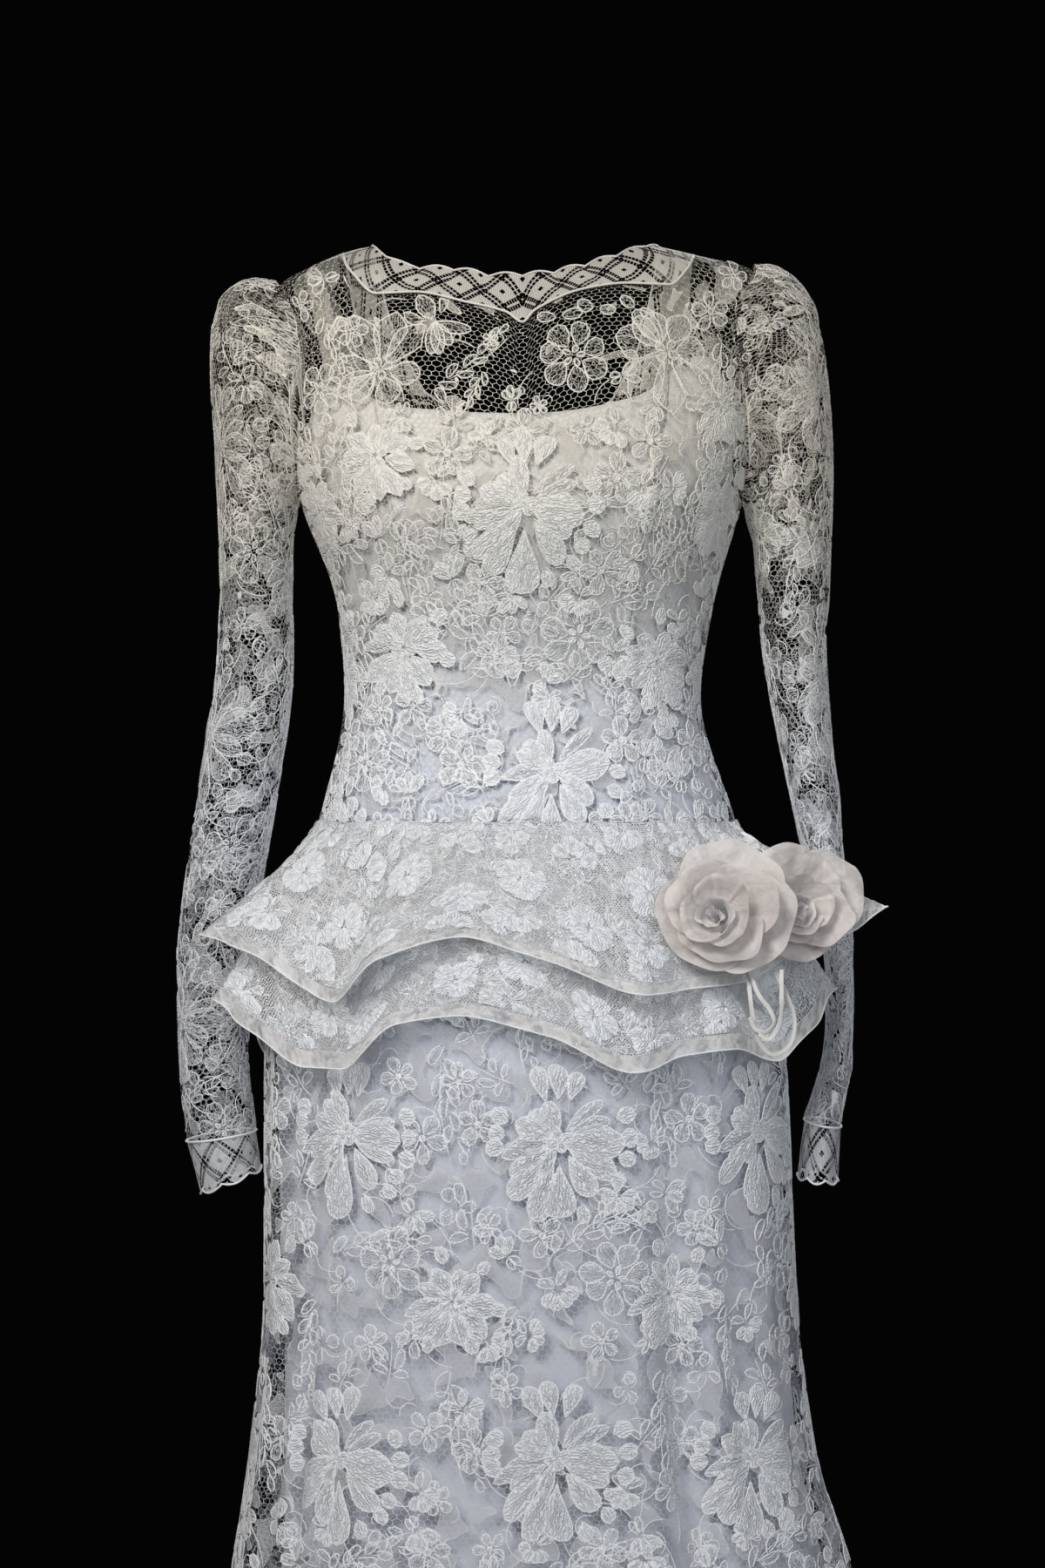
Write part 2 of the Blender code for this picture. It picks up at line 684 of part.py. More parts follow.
def frame_of(facing):
    """Two directions square to the one a rose faces."""
    axis = Vector(facing).normalized()
    right = axis.cross(Vector((0, 0, 1))).normalized()
    return np.array(axis), np.array(right), np.array(right.cross(axis))


def petal_grid(centre, facing, size, turn, span, layer):
    """A petal: a sector of a bowl, its far edge tucked outside the next petal and its corners round."""
    climb, part = grid_of(*PETAL_STEPS)
    _, _, _, foot, foot_height, rim, rim_height = layer
    reach = 1 - PETAL_CORNER * np.abs(2 * part - 1) ** PETAL_CORNER_POWER
    climb = climb * reach
    radius = foot + (rim - foot) * climb + PETAL_TUCK * part
    rise = foot_height + (rim_height - foot_height) * climb**2 - PETAL_TUCK * part
    angle = turn + span * part
    return place(centre, facing, size, radius, angle, rise)


def bud_grid(centre, facing, size, turn):
    """The rolled middle of a rose: one strip wound round the axis."""
    climb, part = grid_of(*BUD_STEPS)
    radius = BUD_RADIUS + BUD_GROWTH * BUD_TURNS * part + BUD_LEAN * climb
    rise = BUD_FOOT + BUD_HEIGHT * climb - BUD_SINK * part
    return place(centre, facing, size, radius, turn + FULL_TURN * BUD_TURNS * part, rise)


def place(centre, facing, size, radius, angle, rise):
    axis, right, up = frame_of(facing)
    local = (
        (radius * np.cos(angle))[..., None] * right
        + (radius * np.sin(angle))[..., None] * up
        + rise[..., None] * axis
    )
    return np.array(centre) + size * local


def make_rose(name, centre, facing, size, spin, material):
    for layer in PETALS:
        number, petals, turn = layer[:3]
        for index in range(petals):
            start = radians(turn + spin) + FULL_TURN * index / petals
            span = FULL_TURN / petals + PETAL_OVERLAP
            grid = petal_grid(centre, facing, size, start, span, layer)
            cloth(f"{name}_petal_{number}{'abc'[index]}", grid, ORGANZA_WALL, material)
    cloth(f"{name}_bud", bud_grid(centre, facing, size, radians(spin)), ORGANZA_WALL, material)


def make_ribbon(index, points, material):
    """A ribbon loop: a flat strip along a line in front of the flounces, standing on edge to the front."""
    line = np.array(points)
    way = unit(np.gradient(line, axis=0))
    front = RIBBON_FRONT - RIBBON_STEP_FORWARD * index
    rows = []
    for shift in (-RIBBON_WIDTH / 2, RIBBON_WIDTH / 2):
        across = line[:, 0] + shift * way[:, 1]
        height = line[:, 1] - shift * way[:, 0]
        rows.append(np.stack([across, np.full(len(line), front), height], axis=-1))
    cloth(f"ribbon_loop_{index + 1}", np.array(rows), ORGANZA_WALL, material)


def make_zip_tapes(material):
    for name, side in (("zip_tape_left", 1), ("zip_tape_right", -1)):
        climb, part = grid_of(*TAPE_STEPS)
        height = TAPE_TOP + (TAPE_FOOT - TAPE_TOP) * climb
        across = side * (LEANING_GAP / 2 + (TAPE_REACH - LEANING_GAP / 2) * part)
        cloth(name, on_form(across, height, 1, TAPE_INSET), TAPE_WALL, material)


def box(name, size, location, material):
    bpy.ops.mesh.primitive_cube_add(size=1, location=location)
    piece = bpy.context.object
    piece.name = name
    piece.data.name = name
    piece.data.transform(Matrix.Diagonal((*size, 1)))
    if material:
        piece.data.materials.append(material)
    for old in piece.users_collection:
        old.objects.unlink(piece)
    (collection if material else cutters).objects.link(piece)
    return piece


def cut(piece, cutter, operation):
    cutter.hide_render = True
    cutter.display_type = "WIRE"
    change = piece.modifiers.new(operation.lower(), "BOOLEAN")
    change.operation = operation
    change.object = cutter


def make_slider(material):
    """The slider at the top of the zip: a rounded block with a lug and a hole in it for the pull's pin."""
    foot = np.array(ZIP_TOP - SLIDER_SIZE[2] / 2)
    back = form.at("back", foot) + (LACE_WALL + LEANING_GAP) / 2 + 3 * SEAM_GAP
    middle = back + SLIDER_SIZE[1] / 2
    face = back + SLIDER_SIZE[1]
    slider = box("zip_slider", SLIDER_SIZE, (0, middle, ZIP_TOP), material)
    rounding = slider.modifiers.new("rounding", "BEVEL")
    rounding.width = SLIDER_ROUNDING
    rounding.segments = 1
    lug = box("lug", LUG_SIZE, (0, face + LUG_SIZE[1] / 2 - LUG_SINK, ZIP_TOP + LUG_RISE), None)
    cut(slider, lug, "UNION")
    pin = (0, face + PIN_OUT, ZIP_TOP + LUG_RISE)
    bpy.ops.mesh.primitive_cylinder_add(
        vertices=PIN_HOLE_SIDES,
        radius=PIN_HOLE,
        depth=PIN_HOLE_LENGTH,
        location=pin,
        rotation=(0, QUARTER, 0),
    )
    hole = bpy.context.object
    hole.name = "pin_hole"
    for old in hole.users_collection:
        old.objects.unlink(hole)
    cutters.objects.link(hole)
    cut(slider, hole, "DIFFERENCE")
    return pin


def make_pull(pin, material):
    """The pull tab: a drop-shaped plate hanging from its own pin, with a slot that clears the lug."""
    steps = np.linspace(0, 1, PULL_STEPS)
    fall = PULL_WALL / 2 - steps * PULL_LENGTH
    half = PULL_NECK + PULL_SPREAD * smooth_step(steps * PULL_SPREAD_RATE)
    half = half * np.sqrt(np.clip((1 - steps) / PULL_TIP, PULL_TIP_LEAST, 1))
    right_side = [(width, 0, drop) for width, drop in zip(half, fall)]
    left_side = [(-width, 0, drop) for width, drop in zip(half[::-1], fall[::-1])]
    mesh = bpy.data.meshes.new("zip_pull")
    outline = right_side + left_side
    mesh.from_pydata(outline, [], [tuple(range(len(outline)))])
    mesh.materials.append(material)
    pull = add_object("zip_pull", mesh)
    pull.location = pin
    plate = pull.modifiers.new("wall", "SOLIDIFY")
    plate.thickness = PULL_WALL
    plate.offset = 0.0
    slot_top = -PULL_WALL / 2
    size = (LUG_SIZE[0] + PULL_SLOT_SPARE, PULL_SLOT_DEPTH, slot_top - PULL_SLOT_FOOT)
    slot = box("slot", size, (pin[0], pin[1], pin[2] + (slot_top + PULL_SLOT_FOOT) / 2), None)
    cut(pull, slot, "DIFFERENCE")


def clear_scene():
    for old in list(bpy.data.objects):
        bpy.data.objects.remove(old, do_unlink=True)


def make_slip(crepe):
    seam = SLIP_SEAM
    front = PRINCESS_ANGLE
    side, back = 90, 180 - seam / 2
    panels = (
        ("slip_front_centre", -front, front, PRINCESS_LEAN),
        ("slip_front_side_left", front, side, PRINCESS_LEAN),
        ("slip_front_side_right", -side, -front, PRINCESS_LEAN),
        ("slip_back_left", side, back, 0),
        ("slip_back_right", -back, -side, 0),
    )
    for name, first, last, lean in panels:
        cloth(name, slip_panel(first + seam, last - seam, lean), CREPE_WALL, crepe)
    for name, *sizes in STRAPS:
        cloth(name, strap(*sizes), CREPE_WALL, crepe)
    edge = radians(seam)
    for name, start in (("underskirt_front", -QUARTER), ("underskirt_back", QUARTER)):
        grid = skirt_panel(start + edge, start + 2 * QUARTER - edge, UNDERSKIRT_STEPS, UNDERSKIRT_HEM, ease)
        cloth(name, grid, CREPE_WALL, crepe)


def make_lace(lace):
    right_turns = -panel_turns(neck_seam, -1)[::-1]
    front = bodice_panel(np.concatenate([right_turns[:-1], panel_turns(neck_seam, 1)]), -1, neck_seam)
    back_left = bodice_panel(np.maximum(panel_turns(back_seam, 1), CENTRE_BACK_SEAM), 1, back_seam)
    back_right = bodice_panel(-np.maximum(panel_turns(back_seam, -1), CENTRE_BACK_SEAM)[::-1], 1, back_seam)
    cloth("lace_bodice_front", front, LACE_WALL, lace)
    cloth("lace_bodice_back_left", back_left, LACE_WALL, lace)
    cloth("lace_bodice_back_right", back_right, LACE_WALL, lace)
    cloth("neck_border_front", border_panel(front, -1, neck_seam, neck_edge), LACE_WALL, lace)
    cloth("neck_border_back_left", border_panel(back_left, 1, back_seam, back_edge), LACE_WALL, lace)
    cloth("neck_border_back_right", border_panel(back_right, 1, back_seam, back_edge), LACE_WALL, lace)
    cloth("lace_sleeve_left", sleeve_rings(SLEEVE_LEFT, 1, SLEEVE_STEPS), LACE_WALL, lace, closed=True)
    cloth("lace_sleeve_right", sleeve_rings(SLEEVE_RIGHT, -1, SLEEVE_STEPS), LACE_WALL, lace, closed=True)
    for name, start in (("lace_skirt_front", -QUARTER), ("lace_skirt_back", QUARTER)):
        grid = skirt_panel(start + SIDE_SEAM, start + 2 * QUARTER - SIDE_SEAM, SKIRT_STEPS, HEM)
        cloth(name, grid, LACE_WALL, lace)


def make_cuffs(lace):
    for name, table, side in (("cuff_border_left", CUFF_LEFT, 1), ("cuff_border_right", CUFF_RIGHT, -1)):
        around = 3 * CUFF_SCALLOPS
        grid = sleeve_rings(table, side, around, first_ring=False)
        turn = np.arange(around) / around * CUFF_SCALLOPS * pi
        grid[0, :, 2] -= LEANING_GAP
        grid[1, :, 2] -= SCALLOP_DEPTH * (np.abs(np.sin(turn)) - 0.5)
        cloth(name, grid, LACE_WALL, lace, closed=True)


def make_peplum(lace, organza):
    for which in ("lower", "upper"):
        cloth(f"flounce_{which}", flounce_panel(which, 0, BINDING_START, 2), LACE_WALL, lace, closed=True)
        binding = flounce_panel(which, BINDING_START + BINDING_GAP, 1, 1)
        cloth(f"flounce_{which}_binding", binding, ORGANZA_WALL, organza, closed=True)


clear_scene()
collection = bpy.data.collections.new(COLLECTION)
cutters = bpy.data.collections.new("cutters")
bpy.context.scene.collection.children.link(collection)
bpy.context.scene.collection.children.link(cutters)

ivory_lace = fabric("ivory_lace", (0.80, 0.76, 0.68), 0.75)
ivory_crepe = fabric("ivory_crepe", (0.84, 0.82, 0.77), 0.50)
blush_organza = fabric("blush_organza", (0.80, 0.72, 0.66), 0.45)
ivory_satin = fabric("ivory_satin", (0.86, 0.83, 0.76), 0.35)
white_metal = fabric("white_metal", (0.82, 0.80, 0.76), 0.35, 0.6)

make_slip(ivory_crepe)
make_lace(ivory_lace)
make_cuffs(ivory_lace)
make_peplum(ivory_lace, blush_organza)
for rose in ROSES:
    make_rose(*rose, blush_organza)
for number, loop in enumerate(RIBBON_LOOPS):
    make_ribbon(number, loop, ivory_satin)
make_zip_tapes(ivory_crepe)
pin_place = make_slider(white_metal)
make_pull(pin_place, white_metal)
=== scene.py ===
# Long-sleeved wedding dress in corded lace over a crepe slip, with a two-tier peplum and organza roses.
# Metres, +Z up, front towards -Y, the wearer's left is +X. Lengths marked mm are turned to metres by mm.
import bpy
import numpy as np
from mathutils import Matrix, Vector


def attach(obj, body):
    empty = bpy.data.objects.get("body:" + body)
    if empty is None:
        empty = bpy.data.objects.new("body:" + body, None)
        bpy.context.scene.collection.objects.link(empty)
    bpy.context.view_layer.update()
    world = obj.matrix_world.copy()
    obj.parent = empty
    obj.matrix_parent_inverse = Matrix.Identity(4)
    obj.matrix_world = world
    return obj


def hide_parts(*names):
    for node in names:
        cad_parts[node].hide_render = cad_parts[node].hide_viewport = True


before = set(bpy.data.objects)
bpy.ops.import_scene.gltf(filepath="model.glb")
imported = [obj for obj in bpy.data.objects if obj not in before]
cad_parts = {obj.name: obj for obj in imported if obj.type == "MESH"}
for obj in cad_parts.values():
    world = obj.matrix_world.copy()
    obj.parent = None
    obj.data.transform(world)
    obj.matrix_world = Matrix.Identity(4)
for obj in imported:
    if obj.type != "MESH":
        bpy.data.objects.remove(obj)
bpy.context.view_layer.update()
mm = 0.001
rightAngle = np.pi / 2
dice = np.random.default_rng(14)

dressForm = {  # half-widths and depths of the level rings, wearer's right and left, front and back
    "height": (.014, .004, -.007, -.020, -.055, -.110, -.187, -.268, -.335, -.432, -.510, -.617, -.790, -.905,
               -1.005, -1.400),
    "right": (.104, .142, .167, .1865, .191, .189, .170, .142, .137, .157, .180, .1975, .198, .208, .222,
              .288),
    "left": (.092, .132, .1755, .186, .189, .187, .1685, .146, .137, .164, .184, .202, .210, .223, .2505,
             .322),
    "front": (.016, .040, .056, .068, .084, .106, .127, .104, .091, .106, .118, .128, .135, .144, .162, .232),
    "back": (.016, .036, .050, .062, .079, .094, .100, .088, .083, .107, .124, .135, .142, .153, .174, .252),
}
levels = {"shoulderRight": -.020, "shoulderLeft": -.007, "underarm": -.187, "waist": -.432, "hem": -1.400,
          "slipHem": -1.370, "ridge": .014, "ringPower": 2.25, "armholeDepth": .056}
skirtFolds = (  # angle, half-width in degrees, depth, height where it starts and where it is full
    (-66, 9, .005, -.56, -.66), (56, 10, .005, -.66, -.80), (38, 12, -.012, -.78, -1.10),
    (12, 16, .010, -.86, -1.30), (-24, 18, .012, -.80, -1.30), (78, 14, .014, -.86, -1.20),
    (-84, 12, .012, -.90, -1.30), (118, 16, .016, -.70, -1.20), (150, 18, -.016, -.72, -1.25),
    (180, 16, .016, -.66, -1.20), (-148, 17, -.015, -.76, -1.25), (-114, 16, .015, -.70, -1.20),
)


def readTable(table, column, where):
    # a cubic through the rows, with slopes that are the harmonic mean of the steps on each side
    order = np.argsort(table[next(iter(table))])
    key = np.asarray(table[next(iter(table))], float)[order]
    value = np.asarray(table[column], float)[order]
    step = np.diff(key)
    slope = np.diff(value) / step
    both = slope[:-1] * slope[1:] > 0
    tangent = np.zeros(len(key))
    tangent[1:-1] = np.where(both, 2 * slope[:-1] * slope[1:] / np.where(both, slope[:-1] + slope[1:], 1), 0)
    tangent[0] = slope[0]
    tangent[-1] = slope[-1]
    where = np.clip(where, key[0], key[-1])
    row = np.clip(np.searchsorted(key, where) - 1, 0, len(key) - 2)
    gap = step[row]
    part = (where - key[row]) / gap
    return (value[row] * (1 + 2 * part) * (1 - part) ** 2 + tangent[row] * gap * part * (1 - part) ** 2
            + value[row + 1] * part ** 2 * (3 - 2 * part) + tangent[row + 1] * gap * part ** 2 * (part - 1))


def smoothStep(value):
    # from 0 to 1 with level ends: three squares less two cubes
    value = np.clip(value, 0, 1)
    return value * value * (3 - 2 * value)


def signedPower(value, power):
    # the size to a power, with its sign kept
    return np.sign(value) * np.abs(value) ** power


def stack(*parts):
    # arrays side by side along a new last axis
    return np.stack(parts, axis=-1)


def unit(vectors):
    # vectors brought to length one
    return vectors / np.maximum(np.linalg.norm(vectors, axis=-1, keepdims=True), 1e-12)


def formWidth(across, height):
    # the form's half-width on the side where across lies
    left, right = readTable(dressForm, "left", height), readTable(dressForm, "right", height)
    return np.where(across >= 0, left, right)


def formDepth(isFront, height):
    # the form's depth from the middle to its front or its back
    return np.where(isFront, readTable(dressForm, "front", height), readTable(dressForm, "back", height))


def ringPoint(height, angle, out=0.0, outSide=None):
    # a squared ellipse: half-width times sine and depth times cosine, both to the power 2 / ringPower
    outSide = out if outSide is None else outSide
    side = signedPower(np.sin(angle), 2 / levels["ringPower"])
    ahead = signedPower(np.cos(angle), 2 / levels["ringPower"])
    half, deep = formWidth(side, height), formDepth(ahead >= 0, height)
    return stack((half + outSide) * side, -(deep + out) * ahead, height + 0 * angle)


def angleOf(across, height, facing):
    # the angle whose point lies that far from the middle, on the front (-1) or the back (+1)
    half = formWidth(across, height)
    turn = np.arcsin(np.clip(np.abs(across) / half, 0, 1) ** (levels["ringPower"] / 2))
    return np.sign(across) * turn if facing < 0 else np.pi - np.sign(across) * turn


bones = {  # stitched bone channels beside the princess seams: how far from the middle at each height
    "height": (-.100, -.154, -.228, -.268, -.335, -.432),
    "right": (.124, .113, .088, .081, .0775, .083),
    "left": (.104, .100, .088, .083, .080, .086),
}
boneShape = {"width": 4.2 * mm, "rise": 2.4 * mm}


def boneRise(height, angle):
    # a low ridge with a flat top along each bone, fading out at the dropped waist
    point = ringPoint(height, angle)
    left = readTable(bones, "left", height)
    right = readTable(bones, "right", height)
    apart = np.where(point[..., 0] > 0, np.abs(point[..., 0] - left), np.abs(point[..., 0] + right))
    ridge = 1 - smoothStep((apart / boneShape["width"] - .55) / .9)
    onBodice = smoothStep((height - levels["waist"]) / .02) * smoothStep((-.135 - height) / .02)
    return boneShape["rise"] * ridge * onBodice * (point[..., 1] < 0)


def foldOut(height, angle):
    # pressed folds: a smooth bump across the angle, growing from where it starts to where it is full
    total = 0 * height * angle
    for turn, halfWidth, depth, startsAt, fullAt in skirtFolds:
        apart = (np.degrees(angle) - turn + 180) % 360 - 180
        total = total + depth * smoothStep(1 - np.abs(apart) / halfWidth) * smoothStep(
            (startsAt - height) / (startsAt - fullAt))
    return total


bodyCreases = (  # soft drag lines: angle, height, length, width in metres, depth, lean
    (31, -.97, .38, .012, -.0110, 0), (41, -.93, .40, .007, .0050, 0), (23, -.97, .38, .012, .0040, 0),
    (-50, -.93, .42, .005, -.0050, 0), (-54, -.95, .40, .006, .0045, 0),
    (-62, -.262, .070, .009, -.0016, .5), (58, -.250, .060, .008, -.0014, -.45),
    (-40, -.335, .060, .008, .0010, .3), (44, -.345, .050, .009, .0012, -.2),
    (-78, -.205, .045, .007, -.0018, .9), (76, -.215, .050, .007, -.0016, -.9),
    (-20, -.72, .16, .010, .0022, .03), (26, -.76, .20, .012, -.0026, -.04),
    (-44, -.80, .22, .010, .0026, .02), (8, -.98, .20, .013, -.0024, .02),
    (-10, -1.14, .22, .014, .0032, -.02), (52, -1.02, .24, .012, -.0030, .03),
    (165, -.78, .20, .012, .0026, .03), (-162, -.84, .24, .013, -.0026, -.03),
    (128, -.98, .22, .012, .0030, .02), (-128, -1.05, .24, .013, .0030, -.03),
    (150, -.26, .05, .008, -.0014, .4), (-152, -.27, .05, .008, -.0014, -.4),
)


def creaseOut(height, angle):
    # each crease is a Gaussian ridge about a leaning upright line, faded at its ends
    total = 0 * height * angle
    for turn, middle, length, width, depth, lean in bodyCreases:
        apart = np.radians((np.degrees(angle) - turn + 180) % 360 - 180) * .17 - lean * (height - middle)
        total = total + depth * np.exp(-(apart / width) ** 2) * np.exp(-((height - middle) / length) ** 2 * 2)
    return total


def bodyPoint(height, angle, out=0.0):
    # the lace on the form: ring, folds, creases and the bones that press through
    return ringPoint(height, angle, out + foldOut(height, angle) + creaseOut(height, angle)
                     + .7 * boneRise(height, angle))


def makeSheet(points, straight=False):
    # rows run from the bottom up. x is the distance along a row from its middle column and y the mean
    # distance up the columns, nought at the top row; straight gives every row the mean x. The inverse table
    # gives the column for an x in each row.
    rows, columns = points.shape[:2]
    middle = columns // 2
    arc = np.concatenate([np.zeros((rows, 1)), np.cumsum(
        np.linalg.norm(np.diff(points, axis=1), axis=2), axis=1)], axis=1)
    arc = arc - arc[:, middle:middle + 1]
    if straight:
        arc = np.repeat(arc.mean(0)[None], rows, axis=0)
    climb = np.linalg.norm(np.diff(points, axis=0), axis=2).mean(1)
    along = np.concatenate([[0], np.cumsum(climb)])
    normal = unit(np.cross(np.gradient(points, axis=1), np.gradient(points, axis=0)))
    away = points - points.mean(1, keepdims=True)
    if np.mean(np.sum(normal * away, axis=-1)) < 0:
        normal = -normal
    grid = np.linspace(arc.min(), arc.max(), 500)
    inverse = np.array([np.interp(grid, arc[row], np.arange(columns)) for row in range(rows)])
    return {"points": points, "normals": normal, "arc": arc, "along": along - along[-1], "inverse": inverse,
            "grid": grid, "low": arc[:, 0], "high": arc[:, -1]}


def sample(values, row, column):
    # straight blend of the four grid values round a place
    row = np.clip(row, 0, values.shape[0] - 1.0001)
    column = np.clip(column, 0, values.shape[1] - 1.0001)
    r, c = row.astype(int), column.astype(int)
    a, b = row - r, column - c
    if values.ndim == 3:
        a, b = a[..., None], b[..., None]
    return (values[r, c] * (1 - a) * (1 - b) + values[r + 1, c] * a * (1 - b)
            + values[r, c + 1] * (1 - a) * b + values[r + 1, c + 1] * a * b)


def trim(sheet, x, y):
    # pulls a flat place back inside the panel's cut edges
    y = np.clip(y, sheet["along"][0] + mm, sheet["along"][-1] - mm)
    if "rim" in sheet:
        y = np.minimum(y, np.interp(x, *sheet["rim"]))
    low = np.interp(y, sheet["along"], sheet["low"]) + mm
    high = np.interp(y, sheet["along"], sheet["high"]) - mm
    return np.clip(x, low, high), y


def onSheet(sheet, x, y, lift):
    # a flat place and its height above the cloth, as a point in space
    x, y = trim(sheet, x, y)
    row = np.interp(y, sheet["along"], np.arange(len(sheet["along"])))
    step = sheet["grid"][1] - sheet["grid"][0]
    column = sample(sheet["inverse"], row, (x - sheet["grid"][0]) / step)
    return sample(sheet["points"], row, column) + sample(sheet["normals"], row, column) * lift[..., None]


def inside(sheet, x, y):
    # whether trimming would move a flat place by no more than a seam's width
    nearX, nearY = trim(sheet, x, y)
    return np.hypot(nearX - x, nearY - y) <= 1.5 * mm


def meshObject(name, points, faces, materials, mapping=None, marks=None, which=None, smooth=True):
    # one object from whole arrays: points (n, 3), a list of face arrays, a flat map for each point and marks
    mesh = bpy.data.meshes.new(name)
    loops = np.concatenate([f.reshape(-1) for f in faces]).astype(np.int32)
    sizes = np.concatenate([np.full(len(f), f.shape[1]) for f in faces]).astype(np.int32)
    mesh.vertices.add(len(points))
    mesh.vertices.foreach_set("co", np.asarray(points, np.float32).reshape(-1))
    mesh.loops.add(len(loops))
    mesh.loops.foreach_set("vertex_index", loops)
    mesh.polygons.add(len(sizes))
    mesh.polygons.foreach_set("loop_start", np.concatenate([[0], np.cumsum(sizes)[:-1]]).astype(np.int32))
    mesh.update(calc_edges=True)
    if mapping is not None:
        layer = mesh.uv_layers.new(name="flatMap")
        layer.data.foreach_set("uv", np.asarray(mapping, np.float32)[loops].reshape(-1))
    for mark, values in (marks or {}).items():
        attribute = mesh.attributes.new(mark, "FLOAT", "POINT")
        attribute.data.foreach_set("value", np.asarray(values, np.float32))
    for material in materials:
        mesh.materials.append(material)
    if which is not None:
        mesh.polygons.foreach_set("material_index", np.asarray(which, np.int32))
    mesh.polygons.foreach_set("use_smooth", np.full(len(sizes), smooth))
    piece = bpy.data.objects.new(name, mesh)
    bpy.context.scene.collection.objects.link(piece)
    return piece


def onDress(piece):
    # the piece rides on the dress's body
    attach(piece, "dress")
    return piece


def gridFaces(rows, columns):
    # a face for each four neighbours
    corner = np.arange(rows * columns).reshape(rows, columns)
    return stack(corner[:-1, :-1], corner[:-1, 1:], corner[1:, 1:], corner[1:, :-1]).reshape(-1, 4)


def clothGrid(name, points, material, mapping=None, flip=False, marks=None):
    # a grid of points as one sheet; the flat map is the distance along the rows and up the columns
    rows, columns = points.shape[:2]
    if mapping is None:
        sheet = makeSheet(points)
        mapping = stack(sheet["arc"], np.repeat(sheet["along"][:, None], columns, axis=1))
    faces = gridFaces(rows, columns)
    piece = meshObject(name, points.reshape(-1, 3), [faces[:, ::-1] if flip else faces], [material],
                       mapping.reshape(-1, 2), marks)
    return onDress(piece)


def tubes(paths, radius, normals, closed, sides=3, flat=.8, openFoot=False):
    # cords along many paths of equal length (n, k, 3): each section has its foot on the cloth and a crown
    # above. Open cords narrow to a point at both ends. An open foot leaves out the side on the cloth.
    count, steps = paths.shape[:2]
    ahead = np.roll(paths, -1, axis=1) - np.roll(paths, 1, axis=1)
    if not closed:
        ahead[:, 0] = paths[:, 1] - paths[:, 0]
        ahead[:, -1] = paths[:, -1] - paths[:, -2]
    across = unit(np.cross(ahead, normals))
    turn = np.pi * 2 * (np.arange(sides) + .5) / sides - rightAngle  # the first and last points are the foot
    size = np.broadcast_to(radius, (count, steps)).copy()
    if not closed:
        size[:, 0] *= .12
        size[:, -1] *= .12
    size = size[..., None, None]
    ring = (paths[:, :, None] + size * (np.cos(turn)[:, None] * across[:, :, None]
            + (flat * np.sin(turn) + flat * .5)[:, None] * normals[:, :, None]))
    index = np.arange(count * steps * sides).reshape(count, steps, sides)
    if not openFoot:
        index = np.concatenate([index, index[:, :, :1]], axis=2)
    if closed:
        index = np.concatenate([index, index[:, :1]], axis=1)
    faces = stack(index[:, :-1, :-1], index[:, :-1, 1:], index[:, 1:, 1:], index[:, 1:, :-1])
    length = np.cumsum(np.linalg.norm(ahead, axis=2) / 2, axis=1)
    mapping = stack(np.repeat(length[:, :, None], sides, axis=2),
                    np.broadcast_to(np.arange(sides) / sides * 3 * mm, (count, steps, sides)))
    return ring.reshape(-1, 3), faces.reshape(-1, 4), mapping.reshape(-1, 2)


borderShape = {"scallops": 9, "cuffScallops": 7, "scallop": 3.5 * mm, "repeat": 28.5 * mm, "rows": 9,
               "columns": 181, "cutWidth": .036, "cuffCutWidth": .040, "share": .93, "cuffShare": .88}
tones = {  # linear colours: warm ivory by the neck, cooler and whiter down the skirt; the shift from warm to cool paints in warm light on the upper dress and cool light on the skirt
    "warm": (.80, .745, .645), "cool": (.755, .765, .80), "from": -.09, "to": -.44,
    "organza": (.79, .735, .71), "satin": (.80, .77, .71), "crepe": (.74, .712, .655),
    # strap: the crepe painted darker, as painted shade for the strap lying in shadow under the lace
    "strap": (.36, .335, .285), "bud": (.90, .87, .86), "enamel": (.78, .75, .70),
}


class Nodes:
    # short spellings for wiring a material or a group
    def __init__(self, tree):
        self.tree = tree

    def add(self, kind, settings=None, **links):
        node = self.tree.nodes.new(kind)
        for key, value in (settings or {}).items():
            setattr(node, key, value)
        for key, value in links.items():
            socket = node.inputs[int(key[1:])] if key[0] == "i" and key[1:].isdigit() else node.inputs[
                key.replace("_", " ")]
            if isinstance(value, bpy.types.NodeSocket):
                self.tree.links.new(value, socket)
            else:
                socket.default_value = value
        return node

    def math(self, operation, *values):
        links = {f"i{n}": v for n, v in enumerate(values)}
        return self.add("ShaderNodeMath", {"operation": operation}, **links).outputs[0]

    def times(self, one, two):
        return self.math("MULTIPLY", one, two)

    def plus(self, one, two):
        return self.math("ADD", one, two)

    def minus(self, one, two):
        return self.math("SUBTRACT", one, two)

    def link(self, source, target):
        self.tree.links.new(source, target)

    def group(self, shared, **links):
        return self.add("ShaderNodeGroup", {"node_tree": shared}, **links)

    def flatMap(self):
        return self.add("ShaderNodeUVMap").outputs[0]

    def vector(self, operation, *values, out=0):
        links = {f"i{n}": v for n, v in enumerate(values)}
        return self.add("ShaderNodeVectorMath", {"operation": operation}, **links).outputs[out]

    def ramp(self, value, low, high, toLow=0.0, toHigh=1.0):
        node = self.add("ShaderNodeMapRange", {"interpolation_type": "SMOOTHSTEP"}, Value=value, From_Min=low,
                        From_Max=high, To_Min=toLow, To_Max=toHigh)
        return node.outputs[0]


def newGroup(name, inputs, outputs):
    # a shader group: its tree, a Nodes for it, its given values and the sockets for its results
    tree = bpy.data.node_groups.new(name, "ShaderNodeTree")
    for label, kind, value in inputs:
        socket = tree.interface.new_socket(label, in_out="INPUT", socket_type=f"NodeSocket{kind}")
        if value is not None:
            socket.default_value = value
    for label, kind in outputs:
        tree.interface.new_socket(label, in_out="OUTPUT", socket_type=f"NodeSocket{kind}")
    given = tree.nodes.new("NodeGroupInput").outputs
    return tree, Nodes(tree), given, tree.nodes.new("NodeGroupOutput").inputs


